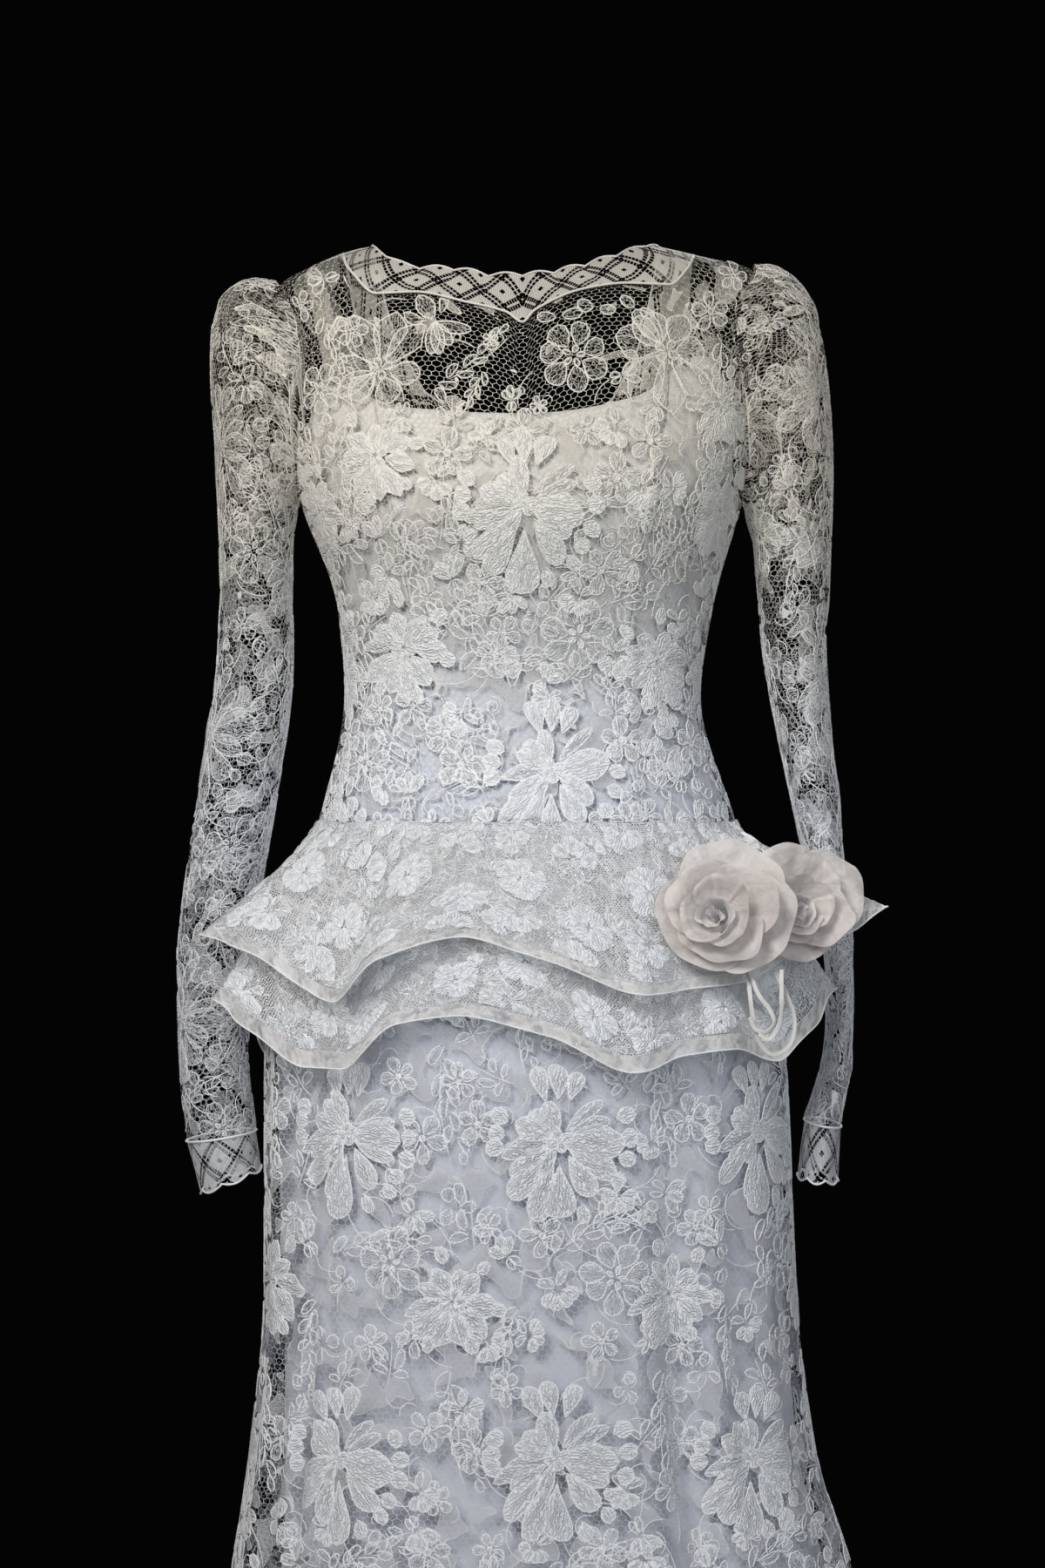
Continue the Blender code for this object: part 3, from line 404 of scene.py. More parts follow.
def makeHexNet():
    # the distance to the edge of a honeycomb cell, from the nearer of two offset grids of centres
    tree, n, given, result = newGroup("hexNet", [
        ("Map", "Vector", None), ("Cell", "Float", 4 * mm),
        ("Thread", "Float", .16), ("Wobble", "Float", .35),
        ("Squash", "Float", 1.25)],
        [("Threads", "Float")])
    scaled = n.vector("SCALE", given["Map"])
    scaled.node.inputs[3].default_value = 1
    n.link(n.math("DIVIDE", 1.0, given["Cell"]), scaled.node.inputs[3])
    stretch = n.add("ShaderNodeCombineXYZ", X=1.0, Y=given["Squash"], Z=0.0).outputs[0]
    scaled = n.vector("MULTIPLY", scaled, stretch)
    noise = n.add("ShaderNodeTexNoise", {"noise_dimensions": "2D"}, Vector=scaled, Scale=.55, Detail=1.0)
    push = n.vector("SUBTRACT", noise.outputs["Color"], (.5, .5, .5))
    pushed = n.vector("SCALE", push)
    n.link(given["Wobble"], pushed.node.inputs[3])
    place = n.vector("ADD", scaled, n.vector("MULTIPLY", pushed, (3.2, 3.2, 0)))
    half = (.5, .8660254, 1)
    lower = (-.5, -.8660254, -1)
    first = n.vector("WRAP", place, half, lower)
    second = n.vector("WRAP", n.vector("SUBTRACT", place, (.5, .8660254, 0)), half, lower)
    flatten = (1, 1, 0)
    first = n.vector("MULTIPLY", first, flatten)
    second = n.vector("MULTIPLY", second, flatten)
    nearer = n.math("LESS_THAN", n.vector("LENGTH", first, out=1), n.vector("LENGTH", second, out=1))
    mix = n.add("ShaderNodeMix", {"data_type": "VECTOR"}, i0=nearer)
    n.link(second, mix.inputs[4])
    n.link(first, mix.inputs[5])
    size = n.vector("ABSOLUTE", mix.outputs[1])
    slanted = n.vector("DOT_PRODUCT", size, (.5, .8660254, 0), out=1)
    straight = n.vector("DOT_PRODUCT", size, (1, 0, 0), out=1)
    edge = n.minus(.5, n.math("MAXIMUM", slanted, straight))
    n.link(n.math("LESS_THAN", edge, given["Thread"]), result["Threads"])
    return tree


def makeLadder():
    # crossing diagonals, each with a row of small holes on both sides, and a pinhole in every diamond
    tree, n, given, result = newGroup("trellisHoles", [
        ("Map", "Vector", None), ("Repeat", "Float", borderShape["repeat"])],
        [("Cloth", "Float")])
    flat = n.add("ShaderNodeSeparateXYZ", Vector=given["Map"]).outputs
    one = n.times(n.plus(flat[0], flat[1]), .7071)
    two = n.times(n.minus(flat[0], flat[1]), .7071)
    span = n.times(given["Repeat"], .7071)
    half = n.times(span, .5)
    p = n.math("WRAP", one, half, n.times(half, -1.0))
    q = n.math("WRAP", two, half, n.times(half, -1.0))
    solid = None
    for near, along in ((p, two), (q, one)):
        gap = n.math("ABSOLUTE", n.minus(n.math("ABSOLUTE", near), 1.9 * mm))
        inRow = n.math("LESS_THAN", gap, 1.25 * mm)
        beat = n.math("ABSOLUTE", n.math("WRAP", along, 1.36 * mm, -1.36 * mm))
        hole = n.times(inRow, n.math("LESS_THAN", beat, 1.14 * mm))
        cloth = n.minus(1.0, hole)
        solid = cloth if solid is None else n.times(solid, cloth)
    corner = n.math("MAXIMUM", n.minus(half, n.math("ABSOLUTE", p)),
                    n.minus(half, n.math("ABSOLUTE", q)))
    solid = n.times(solid, n.math("GREATER_THAN", corner, 1.5 * mm))
    n.link(solid, result["Cloth"])
    return tree


def makeTone():
    # the warm ivory turns cooler down the dress, as painted warm light above and painted cool light below,
    # with faint uneven ageing
    tree, n, given, result = newGroup("ivoryTone", [
        ("Place", "Vector", None), ("Warm", "Color", (*tones["warm"], 1)),
        ("Cool", "Color", (*tones["cool"], 1)), ("Mottle", "Float", .06)],
        [("Color", "Color")])
    height = n.add("ShaderNodeSeparateXYZ", Vector=given["Place"]).outputs[2]
    # painted light: the colour of the light, warm at the top and cool on the skirt, given as a tone by height
    share = n.ramp(height, tones["from"], tones["to"])
    mix = n.add("ShaderNodeMix", {"data_type": "RGBA"}, i0=share)
    n.link(given["Warm"], mix.inputs[6])
    n.link(given["Cool"], mix.inputs[7])
    cloud = n.add("ShaderNodeTexNoise", Vector=given["Place"], Scale=26.0, Detail=4.0).outputs["Fac"]
    shade = n.plus(1.0, n.times(n.minus(cloud, .5), given["Mottle"]))
    tinted = n.vector("SCALE", mix.outputs[2])
    n.link(shade, tinted.node.inputs[3])
    n.link(tinted, result["Color"])
    return tree


def makeWeave():
    # crossed threads with slubs: two sine waves and a noise, as a height from 0 to 1
    tree, n, given, result = newGroup("clothGrain", [
        ("Map", "Vector", None), ("Pitch", "Float", .9 * mm),
        ("Crinkle", "Float", .5)],
        [("Height", "Float")])
    flat = n.add("ShaderNodeSeparateXYZ", Vector=given["Map"]).outputs
    around = n.math("DIVIDE", 2 * np.pi, given["Pitch"])
    warp = n.math("SINE", n.times(flat[0], around))
    weft = n.math("SINE", n.times(flat[1], around))
    threads = n.times(n.plus(n.times(warp, weft), 1.0), .5)
    crepe = n.add("ShaderNodeTexNoise", Vector=given["Map"], Scale=700.0, Detail=3.0).outputs["Fac"]
    mixed = n.add("ShaderNodeMix", {"data_type": "FLOAT"}, i0=given["Crinkle"])
    n.link(threads, mixed.inputs[2])
    n.link(crepe, mixed.inputs[3])
    n.link(mixed.outputs[0], result["Height"])
    return tree


hexNet = makeHexNet()
trellisHoles = makeLadder()
ivoryTone = makeTone()
clothGrain = makeWeave()


def newMaterial(name, roughness=.6, sheen=.0):
    # a plain Principled surface to build on
    material = bpy.data.materials.new(name)
    material.use_nodes = True
    surface = material.node_tree.nodes["Principled BSDF"]
    surface.inputs["Roughness"].default_value = roughness
    surface.inputs["Sheen Weight"].default_value = sheen
    surface.inputs["Specular IOR Level"].default_value = .3
    return material, Nodes(material.node_tree), surface


def addTone(n, surface, warm=None, cool=None, mottle=.06):
    # base colour from ivoryTone at the object's own place, with another pair of tones if given
    place = n.add("ShaderNodeTexCoord").outputs["Object"]
    group = n.group(ivoryTone, Place=place, Mottle=mottle)
    if warm:
        group.inputs["Warm"].default_value = (*warm, 1)
        group.inputs["Cool"].default_value = (*(cool or warm), 1)
    n.link(group.outputs[0], surface.inputs["Base Color"])
    return group


def addBump(n, surface, height, distance, strength=1.0):
    # a height from 0 to 1 raised by the distance
    bump = n.add("ShaderNodeBump", Height=height, Distance=distance, Strength=strength)
    n.link(bump.outputs[0], surface.inputs["Normal"])


def netMaterial(name, threshold):
    # open hexagons; where a slow noise is high the mesh is fine, and a thread runs round each such patch.
    # Patches are few at the yoke and many below it.
    material, n, surface = newMaterial(name, .7, .2)
    flat = n.flatMap()
    addTone(n, surface)
    openNet = n.group(hexNet, Map=flat, Cell=5.8 * mm, Thread=.034, Wobble=.20)
    fineNet = n.group(hexNet, Map=flat, Cell=1.7 * mm, Thread=.115, Wobble=.10)
    zone = n.add("ShaderNodeTexNoise", {"noise_dimensions": "2D"}, Vector=flat, Scale=44.0, Detail=.6,
                 Distortion=.5).outputs["Fac"]
    height = n.add("ShaderNodeSeparateXYZ", Vector=n.add("ShaderNodeTexCoord").outputs["Object"]).outputs[2]
    level = n.ramp(height, -.18, -.11, threshold, .72)
    above = n.minus(zone, level)
    outline = n.math("LESS_THAN", n.math("ABSOLUTE", above), .011)
    fine = n.times(fineNet.outputs[0], n.math("GREATER_THAN", above, 0.0))
    threads = n.math("MAXIMUM", n.math("MAXIMUM", openNet.outputs[0], outline), fine)
    n.link(threads, surface.inputs["Alpha"])
    addBump(n, surface, n.plus(n.times(outline, 2.0), openNet.outputs[0]), .4 * mm)
    return material


def petalMaterial(name, clearBelow=.30, edge=.25):
    # rows of threads along each petal. The marks say how closed it is (dense) and how near its edge (rim).
    material, n, surface = newMaterial(name, .5, .3)
    addTone(n, surface, (.87, .84, .765), (.93, .955, .995), .10)
    flat = n.flatMap()
    wave = n.add("ShaderNodeTexWave", {"bands_direction": "Y", "wave_profile": "SIN"}, Vector=flat,
                 Scale=140.0, Distortion=11.0, Detail=3.0, Detail_Scale=1.4).outputs["Fac"]
    crumple = n.add("ShaderNodeTexNoise", Vector=n.add("ShaderNodeTexCoord").outputs["Object"], Scale=210.0,
                    Detail=2.0).outputs["Fac"]
    dense = n.add("ShaderNodeAttribute", {"attribute_name": "dense"}).outputs["Fac"]
    rim = n.add("ShaderNodeAttribute", {"attribute_name": "rim"}).outputs["Fac"]
    closed = n.plus(n.times(wave, .46), n.times(dense, .64))
    closed = n.plus(closed, n.times(rim, edge))
    n.link(n.ramp(closed, clearBelow, 1.05), surface.inputs["Alpha"])
    addBump(n, surface, n.plus(wave, n.times(crumple, 3.4)), .6 * mm)
    return material


def cordMaterial():
    # a twisted cord: slanting stripes round it
    material, n, surface = newMaterial("laceCord", .5, .25)
    addTone(n, surface, (.80, .765, .69), (.95, .965, 1.0), .05)
    flat = n.flatMap()
    twist = n.add("ShaderNodeTexWave", {"bands_direction": "DIAGONAL"}, Vector=flat, Scale=240.0)
    addBump(n, surface, twist.outputs["Fac"], .2 * mm)
    return material


def trellisMaterial():
    # the trellis with its rows of holes; upright threads thin the cloth between them
    material, n, surface = newMaterial("trellisLace", .65, .2)
    addTone(n, surface, (.82, .775, .69), (.80, .81, .84))
    flat = n.flatMap()
    ladder = n.group(trellisHoles, Map=flat)
    threads = n.add("ShaderNodeTexWave", {"bands_direction": "X"}, Vector=flat, Scale=330.0, Distortion=2.0)
    veil = n.ramp(threads.outputs["Fac"], .0, .8, .35, 1.0)
    n.link(n.times(ladder.outputs[0], veil), surface.inputs["Alpha"])
    addBump(n, surface, threads.outputs["Fac"], .25 * mm)
    return material


def crepeMaterial(name, warm, cool):
    # opaque cloth with a crinkled grain
    material, n, surface = newMaterial(name, .55, .4)
    addTone(n, surface, warm, cool, .05)
    flat = n.flatMap()
    grain = n.group(clothGrain, Map=flat, Pitch=1.1 * mm, Crinkle=.8)
    addBump(n, surface, grain.outputs[0], .30 * mm)
    return material


def organzaMaterial(name, warm, cool, cover, deep=1.0, spread=.22):
    # sheer and crisp; the mark rim lightens a petal from its foot, where deep is the tone, to its edge:
    # painted shade, darkest at the foot, with a slight painted lift at the edge
    material, n, surface = newMaterial(name, .42, .6)
    tone = addTone(n, surface, warm, cool, .08)
    rim = n.add("ShaderNodeAttribute", {"attribute_name": "rim"}).outputs["Fac"]
    shaded = n.vector("SCALE", tone.outputs[0])
    # painted shade towards the foot of each petal, from deep up to a little over one at the edge
    n.link(n.ramp(rim, .0, 1.0, deep, 1.04), shaded.node.inputs[3])
    n.link(shaded, surface.inputs["Base Color"])
    flat = n.flatMap()
    grain = n.group(clothGrain, Map=flat, Pitch=.8 * mm, Crinkle=.35)
    crinkle = n.add("ShaderNodeTexNoise", Vector=flat, Scale=95.0, Detail=4.0, Distortion=1.2).outputs["Fac"]
    weave = n.plus(n.times(grain.outputs[0], .3), n.times(crinkle, .7))
    n.link(n.ramp(weave, .30, .62, cover, min(1.0, cover + spread)), surface.inputs["Alpha"])
    height = n.plus(n.times(grain.outputs[0], .12), crinkle)
    addBump(n, surface, height, 2.2 * mm, .6)
    return material


def satinMaterial():
    # a close, smooth weave
    material, n, surface = newMaterial("ivorySatin", .30, .3)
    addTone(n, surface, tones["satin"], (.80, .79, .77), .03)
    flat = n.flatMap()
    grain = n.group(clothGrain, Map=flat, Pitch=.5 * mm, Crinkle=.15)
    addBump(n, surface, grain.outputs[0], .08 * mm)
    return material


def enamelMaterial():
    # enamelled zip metal, worn thin where a noise says so
    material, n, surface = newMaterial("zipEnamel", .35)
    place = n.add("ShaderNodeTexCoord").outputs["Object"]
    wear = n.add("ShaderNodeTexNoise", Vector=place, Scale=900.0, Detail=3.0).outputs["Fac"]
    mix = n.add("ShaderNodeMix", {"data_type": "RGBA"}, i0=n.ramp(wear, .58, .72))
    mix.inputs[6].default_value = (*tones["enamel"], 1)
    mix.inputs[7].default_value = (.55, .54, .52, 1)
    n.link(mix.outputs[2], surface.inputs["Base Color"])
    n.link(n.ramp(wear, .3, .8, .28, .5), surface.inputs["Roughness"])
    addBump(n, surface, wear, .05 * mm)
    return material


def floorMaterial():
    # a pale matt floor: two greys mixed by a noise
    material, n, surface = newMaterial("paleFloor", .8)
    place = n.add("ShaderNodeTexCoord").outputs["Object"]
    cloud = n.add("ShaderNodeTexNoise", Vector=place, Scale=3.0, Detail=4.0).outputs["Fac"]
    mix = n.add("ShaderNodeMix", {"data_type": "RGBA"}, i0=cloud)
    mix.inputs[6].default_value = (.62, .61, .60, 1)
    mix.inputs[7].default_value = (.68, .67, .66, 1)
    n.link(mix.outputs[2], surface.inputs["Base Color"])
    return material


def peplumNetMaterial():
    # a fine close ground; where a noise is high it is woven shut, with a thread round each such patch
    material, n, surface = newMaterial("peplumNet", .7, .25)
    addTone(n, surface, (.84, .815, .77), (.80, .80, .815))
    flat = n.flatMap()
    fine = n.group(hexNet, Map=flat, Cell=2.1 * mm, Thread=.15, Wobble=.30)
    zone = n.add("ShaderNodeTexNoise", {"noise_dimensions": "2D"}, Vector=flat, Scale=95.0, Detail=1.0,
                 Distortion=.8).outputs["Fac"]
    above = n.minus(zone, .60)
    outline = n.math("LESS_THAN", n.math("ABSOLUTE", above), .018)
    shut = n.ramp(above, .0, .10, .0, .60)
    threads = n.math("MAXIMUM", fine.outputs[0], outline)
    n.link(n.math("MAXIMUM", threads, shut), surface.inputs["Alpha"])
    addBump(n, surface, n.plus(outline, shut), .5 * mm)
    return material


laceNet = netMaterial("laceNet", .57)
sleeveNet = netMaterial("sleeveNet", .63)
lacePetal = petalMaterial("lacePetal")
peplumNet = peplumNetMaterial()
peplumPetal = petalMaterial("peplumPetal", .42, .45)
laceCord = cordMaterial()
trellisLace = trellisMaterial()
ivoryCrepe = crepeMaterial("ivoryCrepe", tones["crepe"], (.69, .72, .80))
# the straps' crepe carries painted shade: darker than the slip for the shadow the lace casts on them
shadedStrapCrepe = crepeMaterial("shadedStrapCrepe", tones["strap"], tones["strap"])
blushOrganza = organzaMaterial("blushOrganza", tones["organza"], tones["organza"], .66, .90)
budOrganza = organzaMaterial("budOrganza", tones["bud"], tones["bud"], .85, .98)
# painted light: the binding's near-white tone, lifted by 1.04 all over, brightens a band that faces down into
# shade
edgeOrganza = organzaMaterial("edgeOrganza", (.97, .93, .875), (.97, .955, .945), .20, 1.04, .52)
ivorySatin = satinMaterial()
zipEnamel = enamelMaterial()
paleFloor = floorMaterial()
print("materials made")

petalColumns = ("count", "fromAngle", "toAngle", "start", "length", "width", "taper", "lobes", "depth",
                "bend", "dense", "puff")  # mm and degrees; a row is a fan of equal petals round the middle
motifPetals = {
    "bloom": (
        (1, -8, -8, 2, 42, 27, .40, 4, .07, 0, .9, 1.8), (1, -31, -31, 6, 36, 17, .5, 3, .07, .06, .9, 1.7),
        (1, -60, -60, 12, 36, 18, .7, 0, 0, 0, .9, 1.7), (1, -92, -92, 16, 42, 23, 1.1, 0, 0, 0, .85, 1.9),
        (1, -112, -112, 10, 44, 18, 1.1, 0, 0, .04, .85, 1.8),
        (1, -137, -137, 14, 40, 17, .8, 3, .08, .05, .9, 1.6),
        (1, -124, -124, 5, 21, 12, .5, 0, 0, 0, .8, 1.5),
        (1, -154, -154, 8, 30, 14, .6, 3, .1, .1, .8, 1.4),
        (1, 181, 181, 3, 36, 14, .5, 4, .12, .24, .6, 1.3),
        (2, 132, 156, 5, 25, 17, .5, 4, .12, .06, .9, 1.6),
        (1, 106, 106, 5, 25, 15, .5, 3, .1, 0, .85, 1.5),
        (3, 74, 108, 28, 24, 13, .8, 0, 0, .08, .9, 1.5), (2, 28, 52, 8, 33, 11, .6, 3, .1, .14, .5, 1.2),
        (4, -36, 18, 43, 13, 13, .3, 3, .12, 0, 1, 1.2), (3, 158, 186, 38, 13, 13, .3, 3, .12, 0, 1, 1.2),
        (2, -50, -72, 46, 13, 11, .5, 3, .1, 0, .9, 1.2), (4, 20, 290, 0, 9, 8, .3, 0, 0, 0, 1, 1.6)),
    "cluster": (
        (3, -140, -74, 7, 27, 18, .55, 5, .13, .05, .9, 1.7),
        (2, -36, 2, 8, 23, 15, .5, 4, .13, .06, .85, 1.5),
        (4, 36, 152, 6, 19, 13, .5, 4, .14, .12, .85, 1.4),
        (1, 182, 182, 6, 27, 12, .5, 4, .12, .25, .6, 1.2),
        (5, -118, 104, 27, 12, 10, .3, 3, .14, 0, .9, 1.2), (5, 0, 288, 1, 10, 8, .5, 0, 0, 0, .9, 1.3)),
    "flower": ((7, 12, 320, 7.5, 17, 15.5, .45, 4, .05, 0, .3, .7),
               (5, 0, 288, 2.2, 6, 3.6, .2, 0, 0, 0, 1, .5)),
    "starFlower": ((5, 8, 296, 3, 14, 11.5, .5, 3, .06, 0, .42, 1.0),
                   (1, 0, 0, -2.4, 5, 5, 0, 0, 0, 0, 1, .6)),
    "bud": ((3, 50, 130, 1, 17, 10, .65, 3, .09, 0, .7, 1.2), (2, -125, -55, 1, 11, 6, .6, 0, 0, .3, .2, .4)),
    "trumpet": ((4, 60, 120, 0, 24, 11, .6, 3, .12, .05, .4, .7),
                (1, -90, -90, 2, 20, 14, .3, 4, .08, 0, .5, .9),
                (2, -150, -30, 8, 17, 9, .4, 0, 0, .35, .4, .5)),
    "wideBloom": (
        (2, 100, 165, 4, 37, 27, .45, 4, .10, 0, .25, .6), (2, 20, 62, 6, 36, 24, .45, 5, .12, .08, .2, .6),
        (3, -150, -30, 7, 24, 20, .4, 4, .08, 0, .3, .8), (2, 185, 205, 6, 30, 17, .4, 3, .08, .1, .3, .7),
        (4, 0, 270, 1, 8, 6, .4, 0, 0, 0, 1, .6)),
    "blossom": ((5, 8, 296, 3, 18, 19, .3, 5, .11, 0, 1.1, 2.0),
                (3, 50, 290, 1, 9, 9, .2, 3, .12, 0, 1.2, 3.0)),
    "halfBlossom": ((4, 20, 160, 4, 17, 15, .4, 5, .12, 0, 1, 1.8),
                    (2, 225, 315, 3, 13, 8, .6, 0, 0, .2, .7, .8)),
    "ovals": ((1, 0, 0, 0, 15, 9.5, .1, 0, 0, 0, .3, .4), (1, 180, 180, 6, 15, 9.5, .1, 0, 0, 0, .3, .4)),
    "twig": ((1, 62, 62, 6, 15, 8, .4, 3, .06, -.3, .15, .5),
             (1, 118, 118, 10, 14, 7.5, .4, 0, 0, .3, .15, .5),
             (1, 84, 84, 22, 15, 8, .4, 0, 0, .1, .3, .6), (2, 20, 160, 2, 13, 7, .4, 3, .06, .25, .15, .4)),
    "loops": ((2, 30, 150, 3, 11, 9, .2, 0, 0, 0, .05, .3), (1, 268, 268, 4, 13, 8, .5, 0, 0, .2, .3, .5)),
    "puff": ((4, -150, -30, 3, 13, 10, .6, 0, 0, 0, .95, 1.6), (2, 60, 120, 2, 14, 8, .6, 3, .1, .2, .5, .8)),
}
stemColumns = ("x", "y", "heading", "length", "curl")  # mm and degrees
motifStems = {
    "bloom": ((0, -50, -80, 46, 70), (-48, 4, 150, 34, -120), (40, -30, -30, 34, 95), (4, 34, 80, 30, -80),
              (-30, -36, 220, 40, 130), (46, 18, 40, 40, -150)),
    "cluster": ((0, 26, 95, 40, 60), (26, -18, -20, 36, 90), (-26, -16, 200, 34, -90),
                (-20, 18, 150, 30, -200)),
    "flower": ((25, 8, 20, 30, -80), (-25, -6, 200, 30, 70), (4, 26, 80, 34, 120)),
    "starFlower": ((0, -16, -95, 26, 60), (14, 8, 30, 24, -170)),
    "bud": ((0, -8, -90, 34, 70), (6, 14, 60, 20, -220)),
    "trumpet": ((-8, 20, 130, 14, 300), (10, -22, -50, 26, 60)),
    "wideBloom": ((34, 6, 10, 40, -60), (0, -30, -90, 30, 50)),
    "blossom": ((-18, 4, 160, 40, -150), (14, -14, -40, 44, 160), (6, 18, 60, 36, -170)),
    "halfBlossom": ((0, 18, 100, 30, 120), (-12, -10, -140, 36, -170)),
    "twig": ((0, -14, 90, 38, 14), (0, -14, -80, 22, 130)),
    "loops": ((0, 0, -60, 28, 150), (0, 0, -140, 26, -190), (0, 4, 90, 18, 260)),
    "puff": ((0, 10, 100, 26, -120), (8, 0, 10, 24, 160)),
}
sprayShape = {"leaves": 9, "length": 82, "curl": 26, "leaf": 19, "leafWidth": 9.5, "spread": 42}
petalKind = np.dtype([(column, float) for column in ("x", "y", "turn", *petalColumns[4:])])
stemKind = np.dtype([(column, float) for column in stemColumns])
stemSteps = 10


def sprayLeaves():
    # leaves in turn on both sides of a bending stem, shorter towards its tip, with one at the tip
    count = sprayShape["leaves"]
    place = np.arange(count) / (count - 1)
    heading = np.radians(sprayShape["curl"]) * (place - .5)
    distance = sprayShape["length"] * place
    side = np.where(np.arange(count) % 2, 1, -1) * (place < .99)
    leaf = np.zeros(count, petalKind)
    leaf["x"] = distance * np.cos(heading * .5) * mm
    leaf["y"] = distance * np.sin(heading * .5) * mm
    leaf["turn"] = heading + side * np.radians(sprayShape["spread"])
    leaf["length"] = sprayShape["leaf"] * (1.06 - .4 * place) * mm
    leaf["width"] = sprayShape["leafWidth"] * (1.05 - .35 * place) * mm
    leaf["taper"] = .35
    leaf["bend"] = -.30 * side
    leaf["dense"] = .12
    leaf["puff"] = .5 * mm
    return leaf


def motifParts(kind):
    # the petals and stems of one motif about its middle, as two named arrays
    if kind == "spray":
        stem = np.array([(0, 0, -.22, sprayShape["length"] * mm, np.radians(sprayShape["curl"]))], stemKind)
        return sprayLeaves(), stem
    found = []
    for row in motifPetals[kind]:
        fan = dict(zip(petalColumns, row))
        count = int(fan["count"])
        turn = np.radians(np.linspace(fan["fromAngle"], fan["toAngle"], count))
        petals = np.zeros(count, petalKind)
        petals["x"] = fan["start"] * mm * np.cos(turn)
        petals["y"] = fan["start"] * mm * np.sin(turn)
        petals["turn"] = turn
        for column in ("taper", "lobes", "depth", "dense"):
            petals[column] = fan[column]
        petals["bend"] = fan["bend"] * np.where(np.cos(turn) < 0, 1, -1)
        for column in ("length", "width", "puff"):
            petals[column] = fan[column] * mm
        found.append(petals)
    stems = np.array([(x * mm, y * mm, np.radians(heading), length * mm, np.radians(curl))
                      for x, y, heading, length, curl in motifStems.get(kind, ())], stemKind)
    return np.concatenate(found), stems


motifLibrary = {kind: motifParts(kind) for kind in [*motifPetals, "spray"]}


def gather(places):
    # every placed motif's petals and stems in one flat pattern. A place is kind, x, y, size, turn, mirror.
    allPetals, allStems = [], []
    for kind, x, y, size, turn, mirror in places:
        petals, stems = (part.copy() for part in motifLibrary[kind])
        bend = np.radians(turn)
        for part, angle in ((petals, "turn"), (stems, "heading")):
            across = part["x"] * mirror
            part["x"], part["y"] = (x + size * (across * np.cos(bend) - part["y"] * np.sin(bend)),
                                    y + size * (across * np.sin(bend) + part["y"] * np.cos(bend)))
            part[angle] = (part[angle] if mirror > 0 else np.pi - part[angle]) + bend
            part["length"] *= size
        petals["width"] *= size
        petals["bend"] *= mirror
        stems["curl"] *= mirror
        allPetals.append(petals)
        allStems.append(stems)
    petals = np.concatenate(allPetals)
    petals["turn"] += dice.normal(0, .09, len(petals))
    petals["length"] *= dice.uniform(.86, 1.12, len(petals))
    petals["width"] *= dice.uniform(.90, 1.18, len(petals))
    petals["bend"] += dice.normal(0, .05, len(petals))
    return petals, np.concatenate(allStems)


def petalOutline(petals, steps):
    # round a petal: along goes out and back as a cosine, across is a sine narrowed towards the foot by taper;
    # lobes ripple the outer half and bend curves the middle line
    t = np.linspace(0, 2 * np.pi, steps, endpoint=False)[None]
    one = {column: petals[column][:, None] for column in petals.dtype.names}
    along = .5 * (1 - np.cos(t))
    across = .5 * np.sin(t) * (along + .03) ** one["taper"] * (1 + .38 * one["taper"])
    uneven = np.cos(2 * t + one["x"] * 9e3) + np.cos(3 * t + one["y"] * 7e3)
    ripple = 1 + one["depth"] * np.cos(one["lobes"] * (t - np.pi)) * along + .045 * uneven * along
    along = .5 + (along - .5) * ripple
    across = across * ripple * one["width"]
    along = along * one["length"]
    across = across + one["bend"] * one["length"] * (along / one["length"]) ** 2
    return along, across


def toFlat(petals, along, across):
    # along and across, turned by the petal's angle from its foot
    cos, sin = np.cos(petals["turn"])[:, None], np.sin(petals["turn"])[:, None]
    return (petals["x"][:, None] + along * cos - across * sin,
            petals["y"][:, None] + along * sin + across * cos)


def stemPath(stems):
    # a path whose heading turns evenly by curl over its length
    step = np.linspace(0, 1, stemSteps)[None]
    heading = stems["heading"][:, None] + stems["curl"][:, None] * step
    stride = stems["length"][:, None] / (stemSteps - 1)
    x = stems["x"][:, None] + np.cumsum(np.cos(heading) * stride, axis=1)
    y = stems["y"][:, None] + np.cumsum(np.sin(heading) * stride, axis=1)
    return x, y


motifShape = {"bigPetal": 19 * mm, "bigSteps": 16, "smallSteps": 9, "cord": .66 * mm, "thinCord": .46 * mm,
              "lift": .35 * mm, "bigRings": (1.0, .62, 0), "smallRings": (1.0, 0), "foot": .15 * mm}


